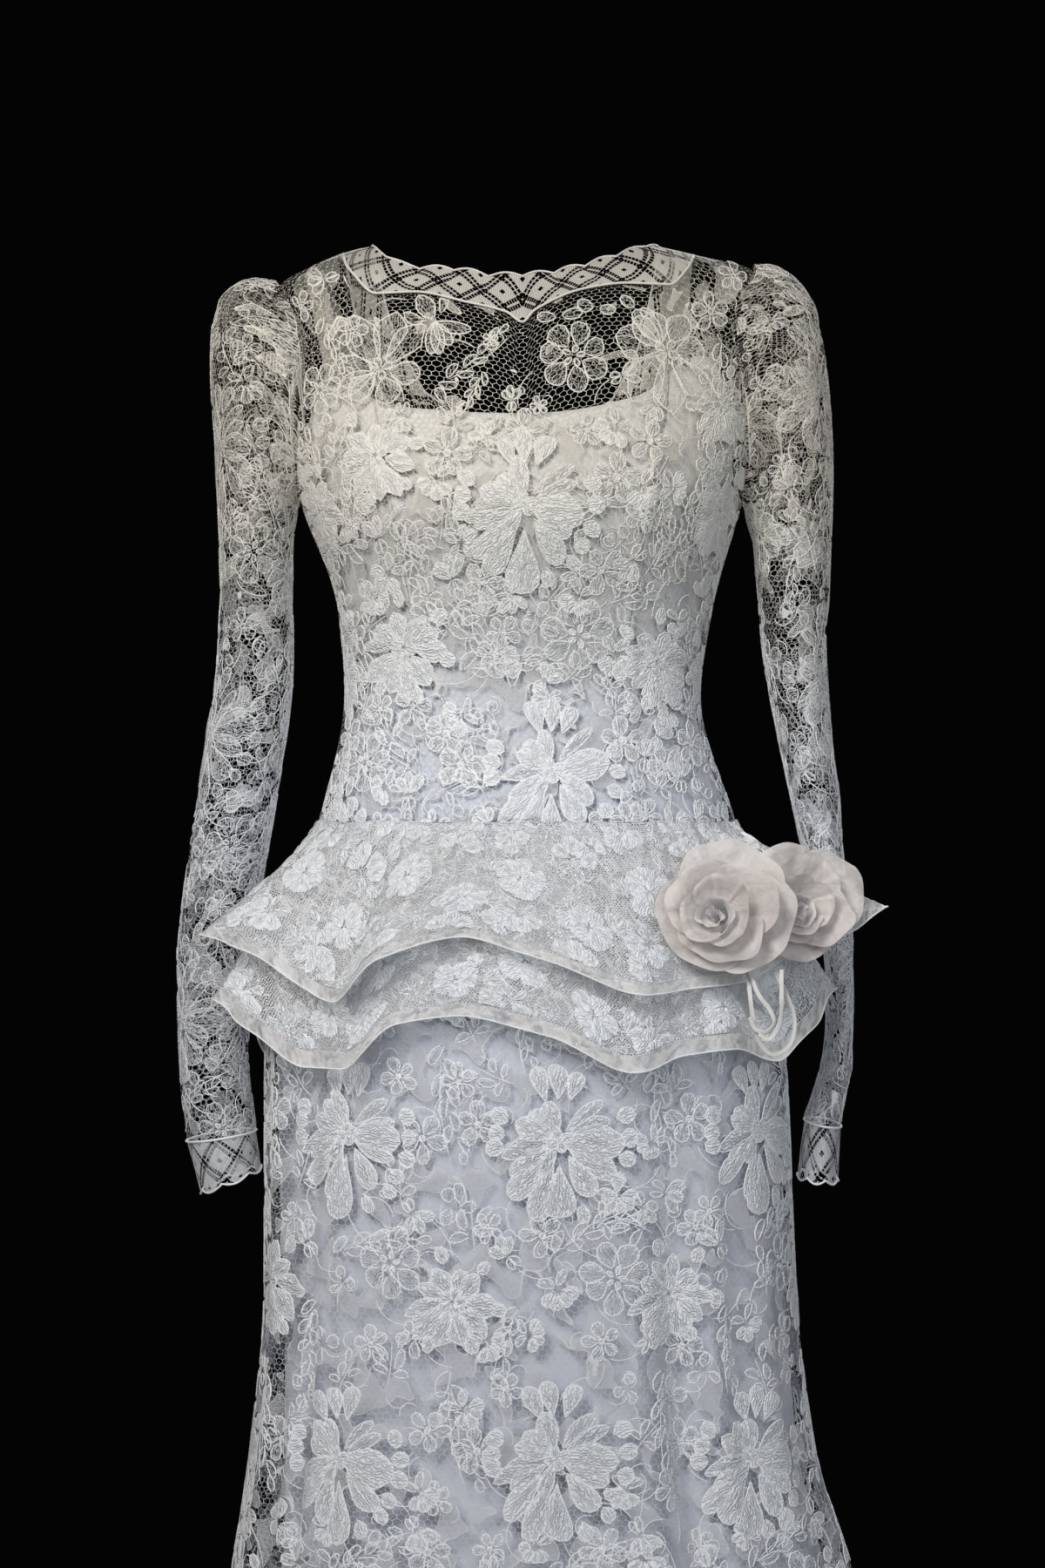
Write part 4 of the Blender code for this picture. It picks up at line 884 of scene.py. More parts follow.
def petalFills(sheet, petals, steps, shares):
    # each petal is its outline drawn in towards its middle in rings, puffed up as they shrink, then a fan
    along, across = petalOutline(petals, steps)
    middleAlong, middleAcross = along.mean(1, keepdims=True), across.mean(1, keepdims=True)
    shift = dice.uniform(0, .2, (len(petals), 1))
    places, maps, rims = [], [], []
    for share in shares:
        wide = steps if share else 1
        a = middleAlong + (along[:, :wide] - middleAlong) * share
        b = middleAcross + (across[:, :wide] - middleAcross) * share
        lift = motifShape["lift"] + petals["puff"][:, None] * .55 * (1 - share ** 2) ** .7 + 0 * a
        places.append(onSheet(sheet, *toFlat(petals, a, b), lift))
        maps.append(stack(a + shift, b + shift))
        rims.append(np.full(a.shape, float(share)))
    size = steps * (len(shares) - 1) + 1
    start = size * np.arange(len(petals))[:, None, None]
    ring, after = np.arange(steps), (np.arange(steps) + 1) % steps
    faces = []
    for level in range(len(shares) - 2):
        low, high = level * steps, (level + 1) * steps
        band = stack(low + ring, low + after, high + after, high + ring)
        faces.append((band[None] + start).reshape(-1, 4))
    last = steps * (len(shares) - 2)
    fan = stack(last + ring, last + after, np.full(steps, size - 1))
    faces.append((fan[None] + start).reshape(-1, 3))
    return (np.concatenate(places, axis=1).reshape(-1, 3), faces, np.concatenate(maps, axis=1).reshape(-1, 2),
            np.repeat(petals["dense"], size), np.concatenate(rims, axis=1).reshape(-1))


def cordsOn(sheet, x, y, radius, closed):
    # cords along flat paths, standing on the cloth
    path = onSheet(sheet, x, y, np.full(x.shape, motifShape["foot"]))
    above = unit(onSheet(sheet, x, y, np.full(x.shape, motifShape["foot"] + 5 * mm)) - path)
    points, faces, mapping = tubes(path, radius, above, closed, openFoot=True)
    return points, [faces], mapping, np.ones(len(points)), np.ones(len(points))


def motifPiece(name, sheet, places, petalCloth, cord=None, spare=None, sheer=lambda y: 1.0):
    # one mesh: a puffed fill for each petal, a cord round it and the stems between. Where sheer is less than
    # one the petals are more open.
    petals, stems = gather(places)
    midX = petals["x"] + .5 * petals["length"] * np.cos(petals["turn"])
    midY = petals["y"] + .5 * petals["length"] * np.sin(petals["turn"])
    petals["dense"] *= sheer(midY)
    keep = inside(sheet, midX, midY)
    stemX, stemY = stemPath(stems)
    keepStem = inside(sheet, stemX, stemY).all(axis=1)
    if spare is not None:
        keep &= ~spare(midX, midY)
        keepStem &= ~spare(stemX, stemY).any(axis=1)
    petals = petals[keep]
    cord = motifShape["cord"] if cord is None else cord
    big = petals["length"] > motifShape["bigPetal"]
    blocks = []
    for chosen, size in ((petals[big], "big"), (petals[~big], "small")):
        if len(chosen):
            steps = motifShape[size + "Steps"]
            blocks.append((0, petalFills(sheet, chosen, steps, motifShape[size + "Rings"])))
            if cord > 0:
                outline = toFlat(chosen, *petalOutline(chosen, steps))
                blocks.append((1, cordsOn(sheet, *outline, cord, True)))
    if keepStem.any():
        thin = motifShape["thinCord"] if cord > 0 else .3 * mm
        blocks.append((1, cordsOn(sheet, stemX[keepStem], stemY[keepStem], thin, False)))
    faces, which, total = [], [], 0
    for slotNumber, (points, blockFaces, *_) in blocks:
        for part in blockFaces:
            faces.append(part + total)
            which.append(np.full(len(part), slotNumber))
        total += len(points)
    whole = [np.concatenate([block[item] for _, block in blocks]) for item in (0, 2, 3, 4)]
    marks = {"dense": whole[2], "rim": whole[3]}
    piece = meshObject(name, whole[0], faces, [petalCloth, laceCord], whole[1], marks, np.concatenate(which))
    return onDress(piece)


# the lace's repeat, in mm from the big bloom's middle
laceRepeat = {"width": 165 * mm, "height": 236 * mm}
motifRoom = {"bloom": 50 * mm, "cluster": 33 * mm, "flower": 24 * mm, "wideBloom": 40 * mm, "spray": 20 * mm,
             "trumpet": 24 * mm, "starFlower": 17 * mm}
repeatMotifs = (  # kind, x, y in mm, size, turn, mirror
    ("bloom", 0, 0, 1.0, 0, 1), ("cluster", 82, -116, 1.05, 0, 1), ("flower", 36, -98, 1.0, 0, 1),
    ("starFlower", -66, 12, 1.0, 20, 1), ("spray", 82, 66, 1.0, -92, 1), ("spray", -8, -84, .82, 206, -1),
    ("bud", -42, -82, .95, 30, 1), ("starFlower", 30, -152, .85, 0, -1), ("bud", 60, -52, .9, -150, 1),
    ("spray", -30, -122, .72, 262, 1), ("starFlower", -50, -62, .7, 40, 1),
)


def fillerPlaces(main, left, right, bottom, top, pitch):
    # small motifs on a jittered grid, left out near the middle of each main motif, two of every three small
    x, y = np.meshgrid(np.arange(left, right, pitch), np.arange(bottom, top, pitch * .9))
    x[::2] += pitch / 2
    x, y = x.ravel() + dice.normal(0, pitch * .14, x.size), y.ravel() + dice.normal(0, pitch * .14, x.size)
    middle = np.array([row[1:3] for row in main])
    room = np.array([motifRoom.get(row[0], 15 * mm) * row[3] for row in main])
    away = np.hypot(x[:, None] - middle[:, 0], y[:, None] - middle[:, 1])
    clear = (away > room).all(axis=1)
    kinds = dice.choice(("twig", "loops", "puff", "starFlower", "bud"), x.size, p=(.34, .22, .20, .12, .12))
    turns = dice.normal(0, 55, x.size)
    sizes = dice.uniform(.74, 1.06, x.size)
    mirrors = dice.choice((-1, 1), x.size)
    return [row for row, free in zip(zip(kinds, x, y, sizes, turns, mirrors), clear) if free]


def repeatPlaces(left, right, bottom, top, firstX=0.0, firstY=0.0, scale=1.0, motifs=repeatMotifs,
                 size=laceRepeat):
    # the repeat set out over a region, each motif moved and turned a little so that no two are quite alike
    places = []
    width, height = size["width"] * scale, size["height"] * scale
    firstColumn, lastColumn = int(np.floor((left - firstX) / width)), int(np.ceil((right - firstX) / width))
    firstRow, lastRow = int(np.floor((bottom - firstY) / height)), int(np.ceil((top - firstY) / height))
    for column in range(firstColumn, lastColumn + 1):
        for row in range(firstRow, lastRow + 1):
            for kind, x, y, big, turn, mirror in motifs:
                nudge = dice.normal(0, 1, 4)
                places.append((kind, firstX + column * width + x * mm * scale + nudge[0] * 3 * mm,
                               firstY + row * height + y * mm * scale + nudge[1] * 3 * mm,
                               big * scale * (1 + .04 * nudge[2]), turn + 5 * nudge[3], mirror))
    return places


neckSeam = {"across": (-.137, -.1345, -.127, -.110, -.0816, -.042, -.012, 0, .009, .048, .080, .110, .124,
                       .129, .131),
            "height": (.004, -.007, -.0185, -.0340, -.0335, -.0420, -.0500, -.0580, -.0485, -.0310, -.0265,
                       -.0270, -.0140, -.0040, .004)}
neckEdge = {"across": (-.116, -.105, -.082, -.052, -.020, .010, .042, .072, .097, .106),
            "height": (.012, .000, -.0120, -.0140, -.0195, -.0185, -.0120, -.0010, .010, .012)}
backSeam = {"across": (-.137, -.1355, -.133, -.127, -.112, -.080, -.040, 0, .040, .080, .110, .123, .128,
                       .130, .131),
            "height": (.004, -.006, -.022, -.052, -.092, -.130, -.149, -.154, -.149, -.130, -.092, -.052,
                       -.022, -.006, .004)}
backEdge = {"across": (-.116, -.106, -.090, -.064, -.032, 0, .032, .064, .086, .098, .106),
            "height": (.012, -.030, -.072, -.103, -.119, -.123, -.119, -.103, -.072, -.030, .012)}


def ridgeHeight(across):
    # the height of the shoulder ridge at a distance from the middle
    heights = np.linspace(levels["ridge"], -.020, 60)
    left = np.interp(across, readTable(dressForm, "left", heights), heights)
    right = np.interp(-across, readTable(dressForm, "right", heights), heights)
    return np.where(across >= 0, left, right)


def armholeEdge(height, side, facing):
    # half the armhole's opening, an ellipse in height, and how far from the middle its front or back edge is
    tip = levels["shoulderLeft"] if side > 0 else levels["shoulderRight"]
    middle = (tip + levels["underarm"]) / 2
    reach = (tip - levels["underarm"]) / 2
    opening = levels["armholeDepth"] * np.sqrt(np.clip(1 - ((height - middle) / reach) ** 2, 0, 1))
    deep = formDepth(np.asarray(facing) < 0, height)
    share = np.clip(1 - (opening / deep) ** levels["ringPower"], 0, 1) ** (1 / levels["ringPower"])
    return opening, readTable(dressForm, "left" if side > 0 else "right", height) * share


def sideEdge(height, side, facing):
    # how far out a bodice panel reaches: the armhole's edge above the underarm, the whole ring below it
    tip = levels["shoulderLeft"] if side > 0 else levels["shoulderRight"]
    height = np.minimum(height, tip)
    whole = readTable(dressForm, "left" if side > 0 else "right", height)
    return np.where(height > levels["underarm"], armholeEdge(height, side, facing)[1], whole)


def bodicePanel(facing, seam, first, last, rows=70, columns=120):
    # climbs from the dropped waist to the neck seam, or beyond it to the shoulder ridge, between the armholes
    turn = np.linspace(first, last, columns)
    share = signedPower(np.sin(turn * rightAngle), 2 / levels["ringPower"])
    side = np.where(turn >= 0, 1, -1)
    tip = np.where(turn >= 0, levels["shoulderLeft"], levels["shoulderRight"])
    half = np.where(turn >= 0, readTable(dressForm, "left", tip), readTable(dressForm, "right", tip))
    across = share * half
    beyond = (across > seam["across"][-1]) | (across < seam["across"][0])
    top = np.where(beyond, ridgeHeight(across), readTable(seam, "height", across))
    climb = 1 - (1 - np.linspace(0, 1, rows)) ** 1.35
    height = levels["waist"] + (top[None] - levels["waist"]) * climb[:, None]
    edge = np.where(side > 0, sideEdge(height, 1, facing), sideEdge(height, -1, facing))
    return bodyPoint(height, angleOf(share * edge, height, facing))


def bodySheet(facing, bottom, top, rows=200, columns=181):
    # the front or back of the form at level heights, to hang motifs on
    angle = np.linspace(-rightAngle, rightAngle, columns) + (np.pi if facing > 0 else 0)
    height = np.linspace(bottom, top, rows)
    sheet = makeSheet(bodyPoint(*np.meshgrid(height, angle, indexing="ij")))
    sheet["along"] = height
    return sheet


def arcOfAcross(sheet, across, height):
    # the flat x of a place given by its distance from the middle and its height
    row = np.interp(height, sheet["along"], np.arange(len(sheet["along"]))).round().astype(int)
    line = sheet["points"][row]
    rising = np.sign(line[:, -1, 0] - line[:, 0, 0])
    return np.array([np.interp(a * s, l[:, 0] * s, arc) for a, s, l, arc in
                     zip(across, rising, line, sheet["arc"][row])])


def bodiceMotifSheet(facing, seam):
    # the form as a sheet whose sides are the armholes and whose rim is the neck seam
    sheet = bodySheet(facing, levels["waist"] + mm, .011)
    height = sheet["along"]
    for side in (1, -1):
        edge = sideEdge(height, side, facing) * side
        arc = arcOfAcross(sheet, edge - side * 1.5 * mm, height)
        sheet["high" if (side > 0) == (facing < 0) else "low"] = arc
    across = np.linspace(seam["across"][0], seam["across"][-1], 60)
    rim = readTable(seam, "height", across) - 1.5 * mm
    x = arcOfAcross(sheet, across, rim)
    order = np.argsort(x)
    sheet["rim"] = (np.concatenate([[x[order][0] - mm], x[order], [x[order][-1] + mm]]),
                    np.concatenate([[.011], rim[order], [.011]]))
    return sheet


yokeMotifs = (  # kind, distance from the middle and height in mm, size, turn, mirror
    ("wideBloom", -106, -92, 1.0, 18, 1), ("trumpet", -66, -56, 1.0, 205, 1),
    ("spray", -62, -104, .72, 34, 1), ("spray", -30, -96, .50, 62, -1), ("flower", 38, -83, 1.08, 8, 1),
    ("wideBloom", 108, -78, 1.05, 150, -1), ("ovals", 30, -52, .9, 10, 1), ("ovals", 58, -46, .9, -6, 1),
    ("ovals", 88, -46, .8, -30, 1), ("bud", 74, -98, .75, -70, 1), ("starFlower", -128, -62, .8, 0, 1),
    ("spray", -150, -50, .62, -70, 1), ("starFlower", 142, -46, .9, 20, 1),
    ("spray", 150, -70, .7, -84, 1), ("bud", -8, -118, .6, 0, 1), ("starFlower", 12, -122, .42, 30, 1),
    ("bud", -90, -128, .8, 170, 1), ("flower", -152, -106, .8, 0, 1), ("cluster", 150, -118, .8, 0, -1),
    ("bud", 100, -120, .8, 160, 1), ("starFlower", -24, -70, .36, 0, 1),
    ("starFlower", 160, -16, .8, 0, 1), ("bud", -150, -20, .9, 100, 1), ("starFlower", -168, -40, .7, 0, 1),
)
bodiceMotifs = (
    ("bloom", 2, -196, 1.05, 0, 1), ("bloom", 22, -392, 1.0, 0, 1), ("flower", 42, -292, 1.08, 0, 1),
    ("spray", -8, -330, .95, 128, 1), ("starFlower", -46, -388, 1.15, 0, 1),
    ("starFlower", 76, -370, 1.1, 15, 1), ("cluster", -92, -300, 1.1, -8, 1),
    ("starFlower", 70, -176, 1.2, 0, 1), ("starFlower", 96, -148, 1.0, 0, 1),
    ("starFlower", -56, -158, 1.1, 0, 1), ("cluster", -112, -158, 1.0, 20, 1),
    ("spray", 112, -158, 1.0, -96, 1), ("spray", 132, -250, 1.0, -98, -1),
    ("spray", -88, -196, 1.0, -84, 1), ("cluster", 106, -310, 1.0, 10, -1),
    ("spray", -128, -236, 1.0, -80, -1), ("bud", -52, -250, 1.0, 20, 1),
    ("flower", -128, -386, .95, 0, 1), ("bud", 84, -236, 1.0, 150, 1),
    ("starFlower", 140, -372, 1.0, 0, 1), ("bud", -8, -262, .8, 190, 1),
    ("spray", -46, -318, .8, 190, -1), ("cluster", -166, -318, 1.0, 0, 1),
    ("cluster", 168, -196, 1.0, 0, 1), ("cluster", 176, -318, 1.0, 0, -1),
    ("cluster", -176, -196, .9, 0, -1), ("bud", 20, -338, .8, 100, 1), ("starFlower", 0, -140, .9, 0, 1),
    ("starFlower", -84, -344, .9, 0, 1), ("bud", 126, -398, .9, 0, 1),
    ("starFlower", 48, -140, .8, 10, 1), ("bud", -86, -410, .9, 0, 1), ("bud", -26, -146, .8, 40, 1),
)


def byAcross(sheet, table):
    # turns places given by distance from the middle into flat ones
    across = np.array([row[1] * mm for row in table])
    height = np.array([row[2] * mm for row in table])
    arc = arcOfAcross(sheet, across, height)
    return [(row[0], x, y, *row[3:]) for row, x, y in zip(table, arc, height)]


flatCuts = {  # bounding width and length of the cut, and the share of that rectangle which is cloth
    "bodiceFront": (.46, .44, .80), "bodiceBack": (.20, .42, .80), "skirt": (.82, .98, .78),
    "sleeve": (.33, .64, .72), "slipCentre": (.215, .34, .78), "slipSide": (.125, .35, .78),
    "slipBack": (.22, .28, .78), "strap": (.0165, .33, .98), "underskirt": (.70, .95, .78),
    "lower": (1.30, .175, .80), "upper": (1.22, .135, .80), "binding": (1.30, .0115, .95),
    "ribbons": (.115, .010, .55), "zipTape": (.011, .27, .95),
}


def declare(piece, width, length, share, held, pieces=(), rests=()):
    # takes the flat cut of a sheet and what it lies on or hangs from, and keeps none of it
    list(rests)
    list(pieces)


bodiceShape = {"reach": .24, "foot": -.43, "frontTop": -.125, "backTop": -.02, "frontPitch": 23 * mm,
               "backPitch": 27 * mm, "backFirst": -.20, "openTurn": .004, "openGap": 4 * mm,
               "sheerFrom": -.105, "sheerOver": .04}


def bodiceSheer(y):
    # the petals are thin on the yoke and close up below the slip's top edge
    return .4 + .9 * smoothStep((bodiceShape["sheerFrom"] - y) / bodiceShape["sheerOver"])


def makeBodice():
    # the front and the two backs, which leave a gap for the zip
    front = clothGrid("netBodiceFront", bodicePanel(-1, neckSeam, -1, 1), laceNet)
    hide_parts("lace_bodice_front")
    sheet = bodiceMotifSheet(-1, neckSeam)
    reach, foot = bodiceShape["reach"], bodiceShape["foot"]
    places = byAcross(sheet, yokeMotifs) + [(k, x * mm, y * mm, s, t, m) for k, x, y, s, t, m in bodiceMotifs]
    places += fillerPlaces(places, -reach, reach, foot, bodiceShape["frontTop"], bodiceShape["frontPitch"])
    motifs = motifPiece("motifsBodiceFront", sheet, places, lacePetal, sheer=bodiceSheer)
    declare(front, *flatCuts["bodiceFront"], "stretched", [motifs], ["slip_front_centre"])
    backSheet = bodiceMotifSheet(1, backSeam)
    for side, name, node in ((1, "Left", "lace_bodice_back_left"), (-1, "Right", "lace_bodice_back_right")):
        ends = (bodiceShape["openTurn"], 1) if side > 0 else (-1, -bodiceShape["openTurn"])
        points = bodicePanel(1, backSeam, *ends)
        net = clothGrid(f"netBodiceBack{name}", points[:, ::-1], laceNet)
        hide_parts(node)
        places = repeatPlaces(-reach, reach, -.42, bodiceShape["backTop"], 0, bodiceShape["backFirst"])
        places += fillerPlaces(places, -reach, reach, foot, bodiceShape["backTop"], bodiceShape["backPitch"])
        half = motifPiece(f"motifsBodiceBack{name}", backSheet, places, lacePetal,
                          spare=lambda x, y: x * side > -bodiceShape["openGap"])
        declare(net, *flatCuts["bodiceBack"], "stretched", [half], [node.replace("lace_bodice", "slip")])
    print("bodice made")


def stripSurface(facing, seam, edge):
    # from the neck seam up to the scalloped edge, over the form
    share = np.linspace(-1, 1, borderShape["columns"])
    seamEnd = np.where(share >= 0, seam["across"][-1], -seam["across"][0])
    edgeEnd = np.where(share >= 0, edge["across"][-1], -edge["across"][0])
    low, high = share * seamEnd, share * edgeEnd
    wave = np.abs(np.sin(share * borderShape["scallops"] * rightAngle)) - .5
    fade = np.clip(6 * (1 - np.abs(share)), 0, 1)
    lowHeight = readTable(seam, "height", low) + .8 * mm
    highHeight = readTable(edge, "height", high) + borderShape["scallop"] * wave * fade
    climb = np.linspace(0, 1, borderShape["rows"])[:, None]
    across = low + (high - low) * climb
    height = np.minimum(lowHeight + (highHeight - lowHeight) * climb, ridgeHeight(across) - .2 * mm)
    return bodyPoint(height, angleOf(across, height, facing), .3 * mm)


def edgeCord(name, line, away, radius, closed=False, sides=6):
    # a round cord along a line of points
    points, faces, mapping = tubes(line[None], radius, away[None], closed, sides, 1.0)
    return onDress(meshObject(name, points, [faces], [laceCord], mapping))


def borderMap(arc, repeat, low, high):
    # the trellis fitted to the scallops: one repeat of it to each, and from low to high across the strip
    up = np.linspace(low, high, borderShape["rows"])[:, None] + 0 * arc
    return stack(arc / repeat * borderShape["repeat"], up)


def makeNeckBorder():
    # one strip for the front and one for the back, cut at the zip
    for facing, seam, edge, parts in (
            (-1, neckSeam, neckEdge, (("Front", "neck_border_front", slice(None)),)),
            (1, backSeam, backEdge, (("BackLeft", "neck_border_back_left", slice(91, None)),
                                     ("BackRight", "neck_border_back_right", slice(0, 90))))):
        whole = stripSurface(facing, seam, edge)
        sheet = makeSheet(whole if facing < 0 else whole[:, ::-1])
        arc = sheet["arc"] if facing < 0 else sheet["arc"][:, ::-1]
        repeat = np.ptp(arc[-1]) / borderShape["scallops"]
        mapping = borderMap(arc, repeat, -.016, .0165)
        for name, node, part in parts:
            strip, flat = whole[:, part], mapping[:, part]
            if facing > 0:
                strip, flat = strip[:, ::-1], flat[:, ::-1]
            piece = clothGrid(f"neckBorder{name}", strip, trellisLace, mapping=flat)
            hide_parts(node)
            normal = makeSheet(strip)["normals"]
            lower = edgeCord(f"neckCordLower{name}", strip[0] + .4 * mm * normal[0], normal[0], 1.0 * mm)
            upper = edgeCord(f"neckCordUpper{name}", strip[-1], normal[-1], .8 * mm)
            length = np.ptp(sheet["arc"][0]) * (1 if facing < 0 else .5)
            declare(piece, length, borderShape["cutWidth"], borderShape["share"], "stretched", [lower, upper],
                    [node.replace("neck_border", "lace_bodice")])
    print("neck border made")


skirtShape = {"reach": .48, "fillReach": .46, "repeatTop": -.58, "fillTop": -.54, "under": -.535,
              "pitch": 41 * mm, "first": {"Front": (.027, -.663), "Back": (.0, -.70)}}


def makeSkirt():
    # the overskirt's front and back with a cord at the hem
    for facing, name, node in ((-1, "Front", "lace_skirt_front"), (1, "Back", "lace_skirt_back")):
        sheet = bodySheet(facing, levels["hem"], levels["waist"] - mm, rows=240)
        net = clothGrid(f"netSkirt{name}", sheet["points"][::-3][::-1, ::2], laceNet)
        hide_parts(node)
        reach, fill = skirtShape["reach"], skirtShape["fillReach"]
        places = repeatPlaces(-reach, reach, levels["hem"], skirtShape["repeatTop"],
                              *skirtShape["first"][name])
        places += fillerPlaces(places, -fill, fill, levels["hem"], skirtShape["fillTop"], skirtShape["pitch"])
        motifs = motifPiece(f"motifsSkirt{name}", sheet, places, lacePetal,
                            spare=lambda x, y: y > skirtShape["under"], sheer=lambda y: .95)
        hem = sheet["points"][0]
        cord = edgeCord(f"hemCord{name}", hem, sheet["normals"][0], .9 * mm, sides=5)
        declare(net, *flatCuts["skirt"], "hung", [motifs, cord], [node.replace("lace_skirt", "underskirt")])
    print("skirt made")


slipTop = {"angle": (-180, -110, -90, -74, -62, -52, -46, -24, 0, 22, 36, 43, 56, 64, 74, 90, 110, 180),
           "height": (-.168, -.188, -.196, -.184, -.154, -.110, -.094, -.1205, -.127, -.112, -.082, -.080,
                      -.122, -.155, -.182, -.196, -.188, -.168)}
slipShape = {"inset": 5 * mm, "underarmEase": 4 * mm, "seam": .04, "lean": .28, "frontSeam": 30,
             "sideSeam": 90, "thick": .8 * mm}
strapShape = {"width": 15 * mm, "inset": 5.5 * mm, "backHeight": -.170, "fold": .5 * mm, "thick": 1.2 * mm}
underskirtEase = {"height": (-.432, -.617, -.790, -1.005, -1.400), "right": (.0048, .009, .015, .038, .085),
                  "left": (.0048, .008, .009, .019, .070), "middle": (.0048, .006, .010, .020, .060)}
underFolds = (  # angle, half-width, depth at the hem
    (-70, 12, .010), (-38, 10, -.008), (-8, 14, .010), (30, 12, -.010), (62, 12, .012), (104, 14, -.012),
    (138, 16, .014), (176, 14, -.012), (-142, 16, .014), (-108, 13, -.010))


def slipPanel(first, last, lean, rows=60, columns=50):
    # between two seams that open out towards the top; the bones stand up from it
    climb, part = np.meshgrid(np.linspace(0, 1, rows), np.linspace(0, 1, columns), indexing="ij")
    angle = np.radians(first + (last - first) * part)
    top = readTable(slipTop, "height", np.degrees(angle))
    height = levels["waist"] - .2 * mm + (top - levels["waist"] + .2 * mm) * climb
    spread = 1 + lean * climb * np.clip(1 - np.abs(angle) / rightAngle, 0, 1)
    ease = slipShape["underarmEase"] * smoothStep((height - levels["underarm"]) / .05 + .6)
    turn = angle * spread
    rise = boneRise(height, turn) + creaseOut(height, turn)
    return ringPoint(height, turn, rise - slipShape["inset"], rise - slipShape["inset"] - ease)


def thicken(piece, thickness, offset=-1.0):
    # a wall inside the grid, or half on each side for offset 0
    wall = piece.modifiers.new("wall", "SOLIDIFY")
    wall.thickness = thickness
    wall.offset = offset


def strapSurface(side, frontAcross, topAcross, backAcross, frontHeight):
    # up the front and down the back just inside the lace: a sine in height, straight across
    width, inset = strapShape["width"], strapShape["inset"]
    strips = []
    ends = ((-1, frontAcross, frontHeight), (1, backAcross, strapShape["backHeight"]))
    for facing, base, baseHeight in ends:
        lift = np.sin(np.linspace(0, rightAngle, 24))
        lift = lift[-2::-1] if facing > 0 else lift
        across = base + (topAcross - base) * lift
        crest = ridgeHeight(side * across) - inset - .0001
        height = baseHeight + (crest - baseHeight) * lift
        edges = []
        for shift in np.linspace(-width / 2, width / 2, 7):
            level = height + inset
            place = side * (across + shift)
            half = formWidth(place, level)
            deep = readTable(dressForm, "front" if facing < 0 else "back", level) - inset
            share = np.clip(1 - (np.abs(place) / (half - inset)) ** levels["ringPower"], 0, 1)
            fold = strapShape["fold"] * np.cos(shift / width * 2 * np.pi * 1.5)
            ahead = facing * (deep * share ** (1 / levels["ringPower"]) + fold)
            edges.append(stack(place, ahead, height))
        strips.append(np.array(edges))
    return np.concatenate(strips, axis=1)


def makeSlip():
    # five fitted panels, two straps and the underskirt's front and back
    seam, front, side, lean = (slipShape[key] for key in ("seam", "frontSeam", "sideSeam", "lean"))
    panels = (("FrontCentre", "slip_front_centre", -front + seam, front - seam, lean, "slipCentre"),
              ("FrontSideLeft", "slip_front_side_left", front + seam, side - seam, lean, "slipSide"),
              ("FrontSideRight", "slip_front_side_right", -side + seam, -front - seam, lean, "slipSide"),
              ("BackLeft", "slip_back_left", side + seam, 180 - 1.5 * seam, 0, "slipBack"),
              ("BackRight", "slip_back_right", -180 + 1.5 * seam, -side - seam, 0, "slipBack"))
    for name, node, first, last, spread, cut in panels:
        piece = clothGrid(f"slip{name}", slipPanel(first, last, spread), ivoryCrepe)
        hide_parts(node)
        thicken(piece, slipShape["thick"])
        hands = [hand for hand in ("left", "right") if name.endswith((hand.title(), "Centre"))]
        straps = [f"slip_strap_{hand}" for hand in hands]
        declare(piece, *flatCuts[cut], "stretched", [], straps)
    for side, name, node, frontAcross, topAcross, backAcross, frontHeight in (
            (1, "Left", "slip_strap_left", .118, .120, .095, -.088),
            (-1, "Right", "slip_strap_right", .139, .160, .100, -.102)):
        surface = strapSurface(side, frontAcross, topAcross, backAcross, frontHeight)
        # the strap's crepe is darker as painted shade from the lace above it
        piece = clothGrid(f"strap{name}", surface, shadedStrapCrepe, flip=side < 0)
        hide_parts(node)
        thicken(piece, strapShape["thick"])
        hand = name.lower()
        declare(piece, *flatCuts["strap"], "stretched", [], [f"slip_front_side_{hand}", f"slip_back_{hand}"])
    for facing, name, node in ((-1, "Front", "underskirt_front"), (1, "Back", "underskirt_back")):
        height, angle = np.meshgrid(np.linspace(levels["slipHem"], levels["waist"] - .5 * mm, 70),
                                    np.linspace(-rightAngle + .003, rightAngle - .003, 91)
                                    + (np.pi if facing > 0 else 0), indexing="ij")
        wave = creaseOut(height, angle)
        for turn, halfWidth, depth in underFolds:
            apart = (np.degrees(angle) - turn + 180) % 360 - 180
            grown = smoothStep((-.62 - height) / .75)
            wave = wave + depth * smoothStep(1 - np.abs(apart) / halfWidth) * grown
        sideEase = np.where(np.sin(angle) >= 0, readTable(underskirtEase, "left", height),
                            readTable(underskirtEase, "right", height))
        points = ringPoint(height, angle, wave - readTable(underskirtEase, "middle", height), wave - sideEase)
        piece = clothGrid(f"underskirt{name}", points, ivoryCrepe)
        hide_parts(node)
        thicken(piece, slipShape["thick"])
        above = "slip_front_centre" if facing < 0 else "slip_back_left"
        declare(piece, *flatCuts["underskirt"], "hung", [], [above])
    print("slip made")


